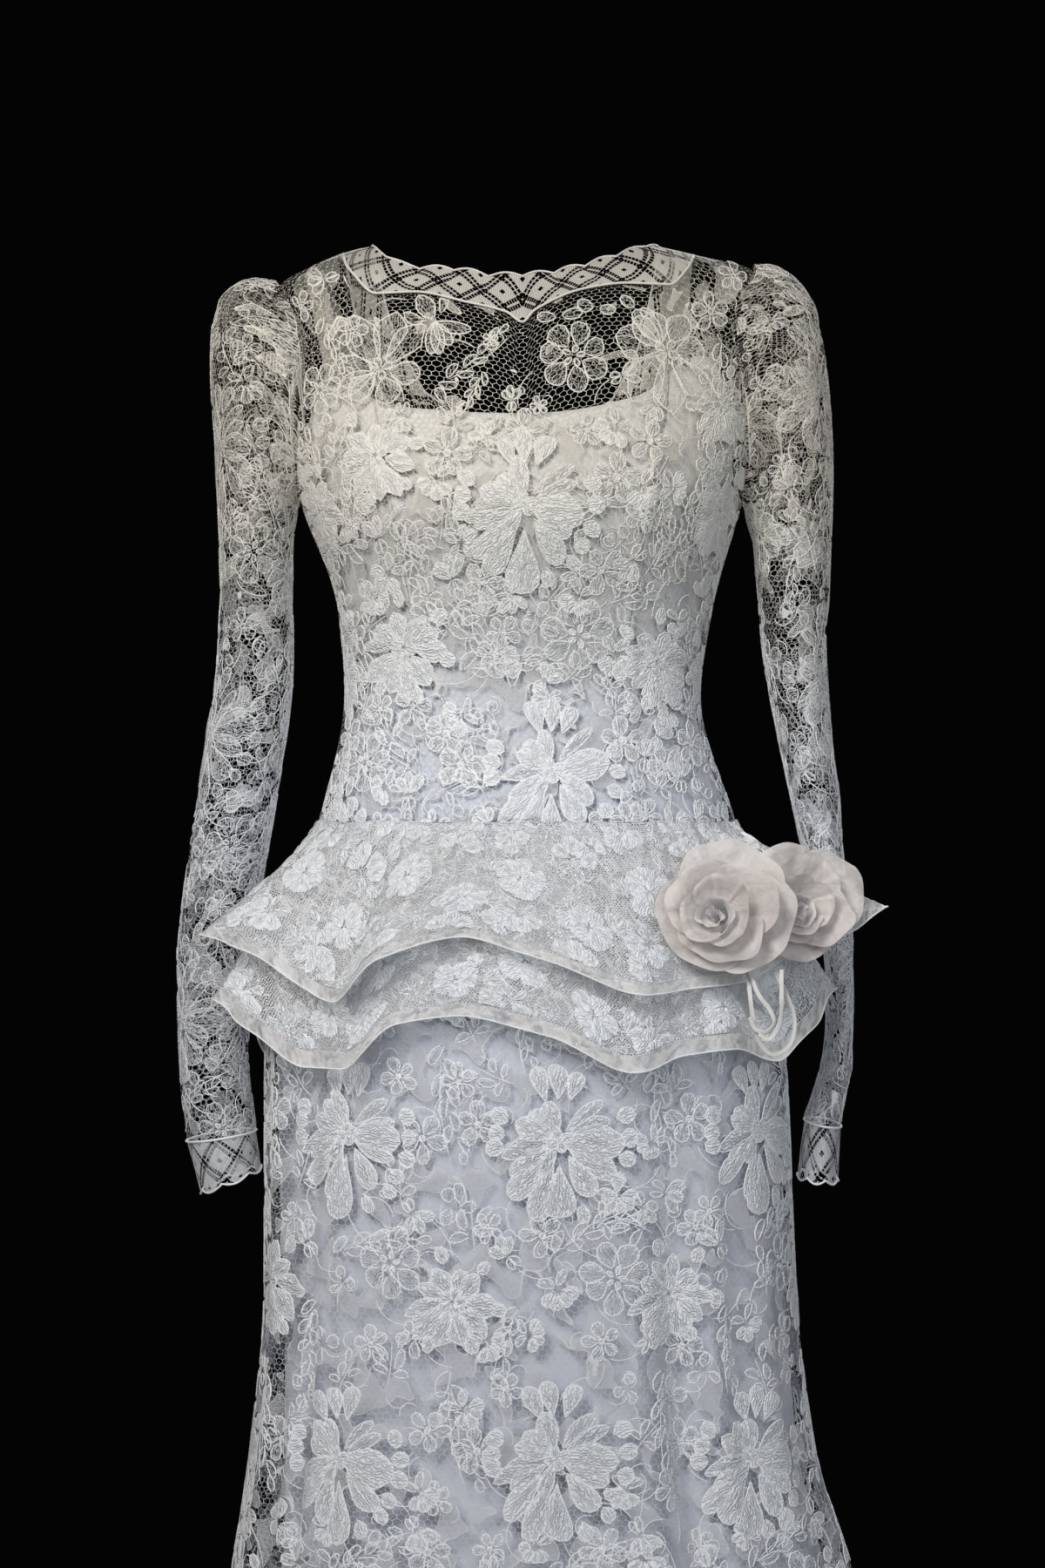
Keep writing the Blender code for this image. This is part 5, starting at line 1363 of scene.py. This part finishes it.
sleeveColumns = ("outer", "outerHeight", "inner", "innerHeight", "halfDepth", "back")
sleeveRight = (
    (.2120, -.0145, .1730, -.190, .059, .000), (.2345, -.0340, .1735, -.194, .059, .000),
    (.2395, -.0800, .1745, -.200, .058, .001), (.2360, -.1500, .1770, -.216, .055, .003),
    (.2330, -.2340, .1775, -.252, .051, .005), (.2365, -.3220, .1780, -.330, .047, .008),
    (.2510, -.4150, .1905, -.418, .045, .010), (.2645, -.5150, .2070, -.515, .043, .012),
    (.2650, -.6000, .2120, -.600, .040, .012), (.2590, -.6760, .2060, -.668, .037, .012))
sleeveLeft = (
    (.1990, -.0065, .1705, -.190, .059, .000), (.2250, -.0360, .1715, -.194, .059, .000),
    (.2345, -.0950, .1735, -.203, .058, .001), (.2385, -.1600, .1780, -.218, .055, .003),
    (.2360, -.2500, .1815, -.256, .051, .005), (.2340, -.3150, .1880, -.318, .050, .008),
    (.2450, -.4350, .2120, -.435, .049, .010), (.2530, -.5300, .2330, -.530, .047, .010),
    (.2530, -.6050, .2335, -.605, .046, .010), (.2450, -.6640, .2180, -.660, .043, .010))
cuffRight = ((.2590, -.6770, .2060, -.6690, .037, .012), (.2535, -.6960, .2040, -.6840, .038, .012),
             (.2480, -.7160, .2020, -.6980, .039, .012))
cuffLeft = ((.2450, -.6650, .2180, -.6610, .043, .010), (.2440, -.6860, .2150, -.6820, .0435, .010),
            (.2430, -.7060, .2125, -.7040, .044, .010))
sleeveShape = {"seamTurn": -55, "rows": 120, "columns": 73, "creaseLength": .66, "creaseRound": .042,
               "reach": .19, "foot": -.68, "pitch": 36 * mm, "scale": .92, "cord": .42 * mm, "sheer": .28,
               "first": {"Left": (.012, -.13), "Right": (-.012, -.165)}, "cuffSteps": 14}
sleeveCreases = (  # share of the length, turn in degrees (0 outer, -90 front), length, width, depth, slant
    (.10, -60, .050, .010, .0030, .5), (.16, -150, .060, .010, -.0030, -.6),
    (.22, -20, .050, .009, -.0022, .8), (.34, -110, .050, .008, .0026, -.9),
    (.42, -60, .055, .008, -.0028, .9), (.47, -140, .045, .008, .0030, 1.2),
    (.50, -80, .050, .007, .0026, -1.0), (.54, -20, .055, .009, -.0026, 1.1),
    (.58, -120, .050, .008, -.0028, -.8), (.66, -60, .070, .009, .0024, .4),
    (.74, -130, .060, .008, -.0024, .6), (.80, -70, .070, .008, .0026, -.3),
    (.88, -100, .060, .008, -.0024, .4), (.93, -40, .050, .008, .0022, -.5),
    (.30, 80, .070, .010, .0030, .5), (.46, 110, .060, .009, -.0030, -.8),
    (.52, 60, .060, .009, .0028, .9), (.70, 90, .080, .009, -.0026, .4), (.86, 120, .070, .009, .0026, -.4))


def smoothRows(rings, count):
    # Catmull-Rom between rings, evenly in ring number
    place = np.linspace(0, len(rings) - 1.00001, count)
    k = place.astype(int)
    t = (place - k)[:, None, None]
    before, after = np.maximum(k - 1, 0), np.minimum(k + 2, len(rings) - 1)
    a, b, c, d = rings[before], rings[k], rings[k + 1], rings[after]
    square, cube = 2 * a - 5 * b + 4 * c - d, 3 * b - a - 3 * c + d
    return .5 * (2 * b + (c - a) * t + square * t ** 2 + cube * t ** 3)


def sleeveRings(table, side, turn, armhole):
    # rings down the arm: across and height swing from inner to outer by the cosine, depth goes by the sine
    rings = []
    if armhole:
        tip = levels["shoulderLeft"] if side > 0 else levels["shoulderRight"]
        height = (tip + levels["underarm"]) / 2 + (tip - levels["underarm"]) / 2 * np.cos(turn)
        opening, across = armholeEdge(height, side, np.sin(turn))
        crown = np.clip(np.cos(turn), 0, 1) ** 3
        rings.append(stack(side * (across + 1.6 * mm), np.sign(np.sin(turn)) * opening,
                           height + 4 * mm * crown))
    for row in table:
        r = dict(zip(sleeveColumns, row))
        swing = (1 + np.cos(turn)) / 2
        rings.append(stack(side * (r["inner"] + (r["outer"] - r["inner"]) * swing),
                           r["back"] + r["halfDepth"] * np.sin(turn),
                           r["innerHeight"] + (r["outerHeight"] - r["innerHeight"]) * swing))
    return np.array(rings)


def sleeveTurn(side, columns):
    # once round the arm from the seam, which is under the arm at the back
    return np.radians(sleeveShape["seamTurn"]) + np.linspace(-np.pi, np.pi, columns) * side


def sleeveSurface(table, side):
    # rings down the sleeve with slanting creases
    rows = sleeveShape["rows"]
    turn = sleeveTurn(side, sleeveShape["columns"])
    points = smoothRows(sleeveRings(table, side, turn, True), rows)
    sheet = makeSheet(points[::-1])
    share, around = np.meshgrid(np.linspace(1, 0, rows), turn, indexing="ij")
    out = 0 * share
    for place, angle, length, width, depth, slant in sleeveCreases:
        down = (share - place) * sleeveShape["creaseLength"]
        apart = ((around - np.radians(angle) + np.pi) % (2 * np.pi) - np.pi) * sleeveShape["creaseRound"]
        line = down - slant * apart * side
        spread = apart + slant * down * side
        out = out + depth * np.exp(-(line / width) ** 2) * np.exp(-(spread / length) ** 2 * 2)
    fade = smoothStep(share / .05) * smoothStep((1 - share) / .04)
    return sheet["points"] + sheet["normals"] * (out * fade)[..., None]


def columnClimb(points):
    # the distance up each column from the lowest row
    steps = np.linalg.norm(np.diff(points, axis=0), axis=2)
    return np.concatenate([np.zeros((1, points.shape[1])), np.cumsum(steps, axis=0)])


def capSheet(points, rows=220):
    # a flat pattern with its grain down the arm: every row is at one distance up from the wrist, and the rows
    # above the underarm end at the armhole, which is the curved top of the cut
    climb = columnClimb(points)
    reach, columns = climb[-1], points.shape[1]
    distance = np.linspace(0, reach.max(), rows)
    row = np.array([np.interp(distance, climb[:, c], np.arange(len(climb))) for c in range(columns)]).T
    column = np.broadcast_to(np.arange(columns, dtype=float), row.shape)
    sheet = makeSheet(sample(points, row, column))
    sheet["normals"] = unit(sample(makeSheet(points)["normals"], row, column))
    sheet["along"] = distance - distance[-1]
    last = np.searchsorted(distance, reach).clip(0, rows - 1)
    edge = sheet["arc"][last, np.arange(columns)]
    order = np.argsort(edge)
    sheet["rim"] = (edge[order], (reach - distance[-1] - 1.5 * mm)[order])
    return sheet


def makeSleeves():
    # each sleeve with its motifs, then the cuff border below it
    for side, name, table, cuff, node in ((1, "Left", sleeveLeft, cuffLeft, "left"),
                                          (-1, "Right", sleeveRight, cuffRight, "right")):
        surface = sleeveSurface(table, side)
        sheet = capSheet(surface)
        mapping = stack(makeSheet(surface)["arc"], columnClimb(surface))
        net = clothGrid(f"netSleeve{name}", surface, sleeveNet, mapping=mapping)
        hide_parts(f"lace_sleeve_{node}")
        reach, foot = sleeveShape["reach"], sleeveShape["foot"]
        places = repeatPlaces(-reach, reach, foot, .02, *sleeveShape["first"][name], sleeveShape["scale"])
        places += fillerPlaces(places, -reach, reach, foot, .0, sleeveShape["pitch"])
        motifs = motifPiece(f"motifsSleeve{name}", sheet, places, lacePetal, sleeveShape["cord"],
                            sheer=lambda y: sleeveShape["sheer"])
        declare(net, *flatCuts["sleeve"], "stretched", [motifs], ["lace_bodice_front"])
        scallops, rows = borderShape["cuffScallops"], borderShape["rows"]
        columns = scallops * sleeveShape["cuffSteps"] + 1
        rings = smoothRows(sleeveRings(cuff, side, sleeveTurn(side, columns), False), rows)
        wave = np.abs(np.sin(np.linspace(0, scallops * np.pi, columns))) - .5
        rings[:, :, 2] -= np.linspace(0, 1, rows)[:, None] * borderShape["scallop"] * wave
        rings = rings[::-1]
        flat = makeSheet(rings)
        repeat = np.ptp(flat["arc"][0]) / scallops
        piece = clothGrid(f"cuff{name}", rings, trellisLace,
                          mapping=borderMap(flat["arc"], repeat, -.019, .017))
        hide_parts(f"cuff_border_{node}")
        lower = edgeCord(f"cuffCord{name}", rings[0, :-1], flat["normals"][0, :-1], .8 * mm, True)
        upper = edgeCord(f"cuffSeam{name}", rings[-1, :-1], flat["normals"][-1, :-1], .9 * mm, True)
        declare(piece, repeat * scallops, borderShape["cuffCutWidth"], borderShape["cuffShare"], "stretched",
                [lower, upper], [f"lace_sleeve_{node}"])
    print("sleeves made")


lowerFlounce = {
    "angle": (-180, -160, -140, -122, -108, -90, -80, -70, -58, -46, -34, -22, -10, 4, 18, 30, 42, 54, 64,
              72, 80, 90, 110, 124, 142, 162, 180),
    "out": (.030, .012, .050, .030, .006, .006, .014, .052, .040, .016, .022, .026, .016, .022, .026, .018,
            .022, .024, .040, .050, .014, .005, .006, .034, .046, .012, .030),
    "drop": (.165, .178, .168, .190, .185, .150, .140, .131, .152, .180, .180, .146, .140, .155, .181,
             .170, .166, .176, .150, .124, .130, .155, .185, .186, .165, .178, .165)}
upperFlounce = {
    "angle": (-180, -160, -140, -122, -108, -90, -80, -70, -58, -46, -34, -24, -10, 4, 20, 34, 48, 58, 66,
              72, 79, 90, 110, 124, 142, 162, 180),
    "out": (.016, .022, .024, .014, .004, .003, .018, .040, .028, .018, .020, .030, .014, .016, .018, .008,
            .006, .018, .060, .078, .018, .003, .004, .014, .024, .020, .016),
    "drop": (.110, .120, .106, .124, .116, .090, .084, .083, .094, .118, .130, .098, .082, .100, .124,
             .120, .116, .100, .078, .062, .076, .095, .118, .122, .106, .118, .110)}
peplumShape = {"lift": 2 * mm, "step": 3.2 * mm, "flare": 1.35, "bindingFrom": .935, "rounding": 18 * mm,
               "overlap": 2 * mm, "bottom": -.18, "reach": .62, "pitch": 29 * mm,
               "first": {"upper": -.052, "lower": -.115}}
peplumRepeat = {"width": 96 * mm, "height": 84 * mm}
peplumMotifs = (
    ("blossom", 0, 0, 1.0, 0, 1), ("halfBlossom", 44, 20, 1.0, -20, 1), ("blossom", 52, -28, .82, 40, -1),
    ("halfBlossom", -6, 46, .9, 160, 1), ("bud", 24, -6, .9, 80, 1), ("bud", -26, -36, .9, -60, 1),
    ("halfBlossom", 84, 34, .7, 90, -1), ("bud", 74, -2, .8, 10, 1), ("starFlower", 22, 42, .7, 0, 1))


def flounceOut(height, angle, which):
    # the lower one stands out from the skirt by a power of how far down it is, the upper one from the lower
    degrees = np.degrees(angle)
    fall = np.clip((levels["waist"] - height) / readTable(lowerFlounce, "drop", degrees), 0, 1)
    start = smoothStep((levels["waist"] - height) / peplumShape["rounding"])
    out = .9 * mm + peplumShape["lift"] * start
    out = out + readTable(lowerFlounce, "out", degrees) * fall ** peplumShape["flare"]
    if which == "lower":
        return out
    fall = np.clip((levels["waist"] - height) / readTable(upperFlounce, "drop", degrees), 0, 1)
    step = .6 * mm + peplumShape["step"] * start
    return out + step + readTable(upperFlounce, "out", degrees) * fall ** peplumShape["flare"]


def flounceSurface(which, first, last, rows, columns=361):
    # rings from the seam down by a share of the drop; sines add gathers at the seam and ripples at the edge
    table = lowerFlounce if which == "lower" else upperFlounce
    part, angle = np.meshgrid(np.linspace(last, first, rows), np.linspace(-np.pi, np.pi, columns),
                              indexing="ij")
    seam = peplumShape["overlap"] * (1 + .35 * np.sin(angle * 9 + 1) + .25 * np.sin(angle * 23)) * (1 - part)
    height = levels["waist"] + seam - readTable(table, "drop", np.degrees(angle)) * part
    gather = 1.1 * mm * np.sin(angle * 61 + 2 * np.sin(angle * 9)) * (1 - part) * np.clip(part * 12, 0, 1)
    ripple = 1.3 * mm * np.sin(angle * 31 + 3 * np.sin(angle * 5)) * part ** 3
    return ringPoint(height, angle, flounceOut(height, angle, which) + gather + ripple)


def makePeplum():
    # two flounces from one seam, the upper one over the lower, each with a bound edge
    for which, name in (("lower", "Lower"), ("upper", "Upper")):
        surface = flounceSurface(which, 0, peplumShape["bindingFrom"], 24)
        sheet = makeSheet(surface, straight=True)
        net = clothGrid(f"netFlounce{name}", surface, peplumNet)
        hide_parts(f"flounce_{which}")
        reach, bottom = peplumShape["reach"], peplumShape["bottom"]
        places = repeatPlaces(-reach, reach, bottom, .01, 0, peplumShape["first"][which], 1.0, peplumMotifs,
                              peplumRepeat)
        places += fillerPlaces(places, -reach, reach, bottom, .0, peplumShape["pitch"])
        motifs = motifPiece(f"motifsFlounce{name}", sheet, places, peplumPetal, cord=0)
        declare(net, *flatCuts[which], "gathered", [motifs], ["lace_skirt_front"])
        binding = flounceSurface(which, peplumShape["bindingFrom"], 1, 7)
        band = clothGrid(f"binding{name}", binding, edgeOrganza)
        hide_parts(f"flounce_{which}_binding")
        flat = makeSheet(binding)
        rim = edgeCord(f"bindingCord{name}", binding[0, :-1], flat["normals"][0, :-1], .7 * mm, True, 4)
        top = edgeCord(f"bindingSeam{name}", binding[-1, :-1], flat["normals"][-1, :-1], .4 * mm, True, 3)
        declare(band, *flatCuts["binding"], "hung", [rim, top], [f"flounce_{which}"])
    print("peplum made")


roses = (  # name, centre, facing, size, spin, CAD name
    ("Large", (.152, -.131, -.494), (-.12, -1.0, .22), 1.02, 0, "rose_large"),
    ("Small", (.208, -.100, -.489), (.25, -1.0, .16), .90, 70, "rose_small"))
rosePetals = (  # layer, petals, turn, foot, foot height, rim, rim height, in metres
    (1, 3, 20, .014, .000, .049, .009), (2, 3, 80, .010, .006, .038, .022),
    (3, 3, 150, .008, .013, .025, .031))
roseShape = {"overlap": 34, "before": 9, "tuck": 3.2 * mm, "ruffle": 4.6 * mm, "curl": 6 * mm,
             "budTurns": 1.7, "swirl": (-.0035, -.0030)}  # how far each layer inwards moves


def roseFrame(facing):
    # the rose's axis and the two directions across it
    axis = unit(np.array(facing))
    right = unit(np.cross(axis, (0, 0, 1)))
    return axis, right, np.cross(right, axis)


def rosePlace(centre, facing, size, radius, angle, rise, layer=1):
    # radius and angle round the axis and rise along it; each inner layer is moved on by swirl
    axis, right, up = roseFrame(facing)
    aside, down = roseShape["swirl"]
    flatX = radius * np.cos(angle) - aside * (layer - 1)
    flatY = radius * np.sin(angle) + down * (layer - 1)
    away = flatX[..., None] * right + flatY[..., None] * up + rise[..., None] * axis
    return np.array(centre) + size * away


def rosePetal(centre, facing, size, turn, span, layer):
    # a bowl sector: radius grows with climb, rise with its power 1.6. Three waves of uneven size ruffle the
    # rim, six folds run up from the foot and the rim rolls back over a part of its length.
    number, _, _, foot, footHeight, rim, rimHeight = layer
    climb, part = np.meshgrid(np.linspace(0, 1, 20), np.linspace(0, 1, 40), indexing="ij")
    phase = dice.uniform(0, 2 * np.pi, 4)
    edge = np.abs(2 * part - 1)
    reach = 1.05 - .36 * edge ** 2.2 + .05 * np.sin(part * 8 + phase[0]) + .022 * np.sin(part * 21 + phase[1])
    up = climb * reach
    wave = np.sin(part * 5 + phase[1]) + .55 * np.sin(part * 11 + phase[2])
    wave = wave + .3 * np.sin(part * 23 + phase[3])
    ruffle = roseShape["ruffle"] * up ** 2.2 * wave * (.75 if number == 3 else 1)
    folds = sum(depth * mm * np.exp(-((part - place - .05 * climb) / width) ** 2) * up
                for place, width, depth in zip(dice.uniform(.1, .9, 6), (.035, .05, .03, .022, .04, .028),
                                               (2.8, -2.8, 2.0, 1.8, -1.9, 1.5)))
    rolled = smoothStep(.5 + .5 * np.sin(part * 4 + phase[0]))
    roll = roseShape["curl"] * np.clip((up - .80) / .22, 0, 1.2) ** 2 * rolled
    radius = foot + (rim - foot) * up + roseShape["tuck"] * (part - .5) + .25 * roll
    rise = footHeight + (rimHeight - footHeight) * np.clip(up, 0, 2) ** 1.6 - roseShape["tuck"] * part
    rise = rise + .55 * ruffle + folds - .8 * roll
    points = rosePlace(centre, facing, size, radius + .25 * ruffle, turn + span * part, rise, number)
    return points, np.clip(up, 0, 1)


def roseBud(centre, facing, size, turn):
    # a strip wound round the axis in uneven turns, its rim leaning in and out in small crumpled waves
    climb, part = np.meshgrid(np.linspace(0, 1, 12), np.linspace(0, 1, 110), indexing="ij")
    around = 2 * np.pi * roseShape["budTurns"] * part
    crumple = np.sin(around * 2.3) + .7 * np.sin(around * 4.1 + 1) + .5 * np.sin(around * 7.3 + 2)
    radius = .0010 + .0130 * part + .0026 * climb ** 2 + .0010 * climb * crumple
    rise = .012 + .019 * climb * (1 - .25 * part) + .0010 * climb * np.sin(around * 3.7 + 1)
    rise = rise - .003 * climb ** 3
    return rosePlace(centre, facing, size, radius, turn + around, rise, 4), climb


def makeRoses():
    # three layers of three petals round a rolled bud, twice
    for name, centre, facing, size, spin, node in roses:
        for layer in rosePetals:
            number, petals, turn = layer[:3]
            for index in range(petals):
                start = np.radians(turn + spin - roseShape["before"]) + 2 * np.pi * index / petals
                span = 2 * np.pi / petals + np.radians(roseShape["overlap"])
                surface, rim = rosePetal(centre, facing, size, start, span, layer)
                letter = "abc"[index]
                piece = clothGrid(f"petal{name}{number}{letter}", surface, blushOrganza,
                                  marks={"rim": rim.reshape(-1)})
                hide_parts(f"{node}_petal_{number}{letter}")
                flat = makeSheet(surface)
                width, length = np.ptp(flat["arc"][-1]), np.ptp(flat["along"])
                declare(piece, max(width, length), min(width, length), .80, "gathered", [], [f"{node}_bud"])
        surface, rim = roseBud(centre, facing, size, np.radians(spin))
        bud = clothGrid(f"bud{name}", surface, budOrganza, marks={"rim": rim.reshape(-1)})
        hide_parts(f"{node}_bud")
        flat = makeSheet(surface)
        declare(bud, np.ptp(flat["arc"][5]), np.ptp(flat["along"]), .95, "gathered", [], [f"{node}_petal_3a"])
    print("roses made")


ribbonLoops = (  # across and height of each point of the middle line
    ((.166, -.536), (.1665, -.556), (.169, -.575), (.174, -.592), (.184, -.600), (.196, -.592), (.199, -.574),
     (.193, -.556), (.186, -.540)),
    ((.166, -.536), (.172, -.555), (.180, -.566), (.184, -.576), (.178, -.583), (.170, -.581), (.166, -.572)),
    ((.190, -.538), (.189, -.556), (.189, -.566), (.187, -.578), (.180, -.588), (.172, -.584)))
ribbonShape = {"width": 3.4 * mm, "tuck": 16 * mm, "front": -.146, "stepForward": 5 * mm, "thick": .4 * mm}


def makeRibbons():
    # each ribbon is its middle line made wide, twisted a little and tucked under the rose
    pieces = []
    for index, loop in enumerate(ribbonLoops):
        middle = smoothRows(np.array(loop)[:, None], 48)[:, 0]
        way = unit(np.gradient(middle, axis=0))
        part = np.linspace(0, 1, 48)
        twist = .5 * np.sin(part * np.pi * 2 + index)
        rows = []
        for shift in np.linspace(-.5, .5, 5) * ribbonShape["width"]:
            depth = ribbonShape["front"] - ribbonShape["stepForward"] * index + shift * np.sin(twist)
            depth = depth + ribbonShape["tuck"] * smoothStep((middle[:, 1] + .560) / .020)
            rows.append(stack(middle[:, 0] + shift * way[:, 1] * np.cos(twist), depth,
                              middle[:, 1] - shift * way[:, 0] * np.cos(twist)))
        piece = clothGrid(f"ribbonLoop{index + 1}", np.array(rows), ivorySatin)
        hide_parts(f"ribbon_loop_{index + 1}")
        thicken(piece, ribbonShape["thick"], 0)
        pieces.append(piece)
    declare(pieces[0], *flatCuts["ribbons"], "hung", pieces[1:], ["flounce_upper"])
    print("ribbons made")


zipShape = {"inset": 2.2 * mm, "pitch": 1.5 * mm, "tooth": (1.1 * mm, .45 * mm, .40 * mm), "top": -.160,
            "foot": -.428, "reach": 10.5 * mm, "gap": .5 * mm}


def zipTeeth(side):
    # a row of blocks along a tape's inner edge, half a pitch out of step with the other side
    height = np.arange(zipShape["foot"], zipShape["top"], zipShape["pitch"])
    height = height + (side > 0) * zipShape["pitch"] / 2
    middle = ringPoint(height, angleOf(side * .55 * mm + 0 * height, height, 1), .9 * mm - zipShape["inset"])
    corner = stack(*np.meshgrid((-1, 1), (-1, 1), (-1, 1), indexing="ij")).reshape(-1, 3)
    points = middle[:, None] + corner * np.array(zipShape["tooth"])
    box = np.array([(0, 1, 3, 2), (4, 6, 7, 5), (0, 4, 5, 1), (2, 3, 7, 6), (0, 2, 6, 4), (1, 5, 7, 3)])
    faces = (box[None] + 8 * np.arange(len(height))[:, None, None]).reshape(-1, 4)
    name = "zipTeethLeft" if side > 0 else "zipTeethRight"
    onDress(meshObject(name, points.reshape(-1, 3), [faces], [zipEnamel], smooth=False))


def makeZip():
    # two tapes with teeth; the slider and its pull keep their own meshes
    for side, name, node in ((1, "Left", "zip_tape_left"), (-1, "Right", "zip_tape_right")):
        height, part = np.meshgrid(np.linspace(zipShape["foot"], zipShape["top"], 80), np.linspace(0, 1, 5),
                                   indexing="ij")
        across = side * (zipShape["gap"] + zipShape["reach"] * part)
        points = ringPoint(height, angleOf(across, height, 1), -zipShape["inset"])
        piece = clothGrid(f"zipTape{name}", points, ivoryCrepe, flip=side > 0)
        zipTeeth(side)
        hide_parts(node)
        thicken(piece, .6 * mm, 0)
        declare(piece, *flatCuts["zipTape"], "stretched", [], [node.replace("zip_tape", "lace_bodice_back")])
    for node in ("zip_slider", "zip_pull"):
        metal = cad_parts[node]
        metal.data.materials.clear()
        metal.data.materials.append(zipEnamel)
    print("zip made")


studio = {"cameraHeight": -.402, "distance": 3.0, "lens": 89.6, "floor": -1.415, "floorRadius": 1.7}
lamps = (  # name, place, aim, size, watts, colour, spread in degrees
    ("key", (-.95, -2.0, .95), (0, 0, -.24), 1.2, 12.8, (1.0, .975, .94), 90),
    ("frontFill", (1.0, -2.3, .05), (0, 0, -.36), 1.6, 5.0, (.87, .935, 1.0), 90),
    ("leftRim", (-2.2, .5, .5), (0, 0, -.5), 1.2, 4.5, (.95, .97, 1.0), 180),
    ("rightRim", (2.2, .5, .5), (0, 0, -.4), 1.2, 5, (1.0, .96, .92), 180),
    ("backFill", (.7, 2.6, .9), (0, 0, -.5), 1.4, 48, (.97, .98, 1.0), 180))


def makeStage():
    # a pale floor, five lamps in a dark surround and the camera
    angle = np.linspace(0, 2 * np.pi, 96, endpoint=False)
    rim = stack(studio["floorRadius"] * np.cos(angle), studio["floorRadius"] * np.sin(angle),
                np.full(96, studio["floor"]))
    floor = meshObject("studioFloor", rim, [np.arange(96)[None]], [paleFloor])
    for name, place, aim, size, watts, colour, spread in lamps:
        light = bpy.data.lights.new(name, "AREA")
        light.shape = "DISK"
        light.size = size
        light.energy = watts
        light.color = colour
        light.spread = np.radians(spread)
        lamp = bpy.data.objects.new(name, light)
        lamp.location = place
        bpy.context.scene.collection.objects.link(lamp)
        way = Vector(aim) - Vector(place)
        lamp.rotation_euler = way.to_track_quat("-Z", "Y").to_euler()
    world = bpy.data.worlds.new("studioDark")
    world.use_nodes = True
    world.node_tree.nodes["Background"].inputs["Color"].default_value = (.0012, .0012, .0014, 1)
    bpy.context.scene.world = world
    bpy.context.scene.view_settings.view_transform = "Standard"
    lens = bpy.data.cameras.new("camera")
    lens.lens = studio["lens"]
    lens.sensor_width = 36
    camera = bpy.data.objects.new("camera", lens)
    camera.location = (0, -studio["distance"], studio["cameraHeight"])
    camera.rotation_euler = (rightAngle, 0, 0)
    bpy.context.scene.collection.objects.link(camera)
    bpy.context.scene.camera = camera
    print("stage made")


makeSlip()
makeBodice()
makeNeckBorder()
makeSleeves()
makeSkirt()
makePeplum()
makeRoses()
makeRibbons()
makeZip()
makeStage()
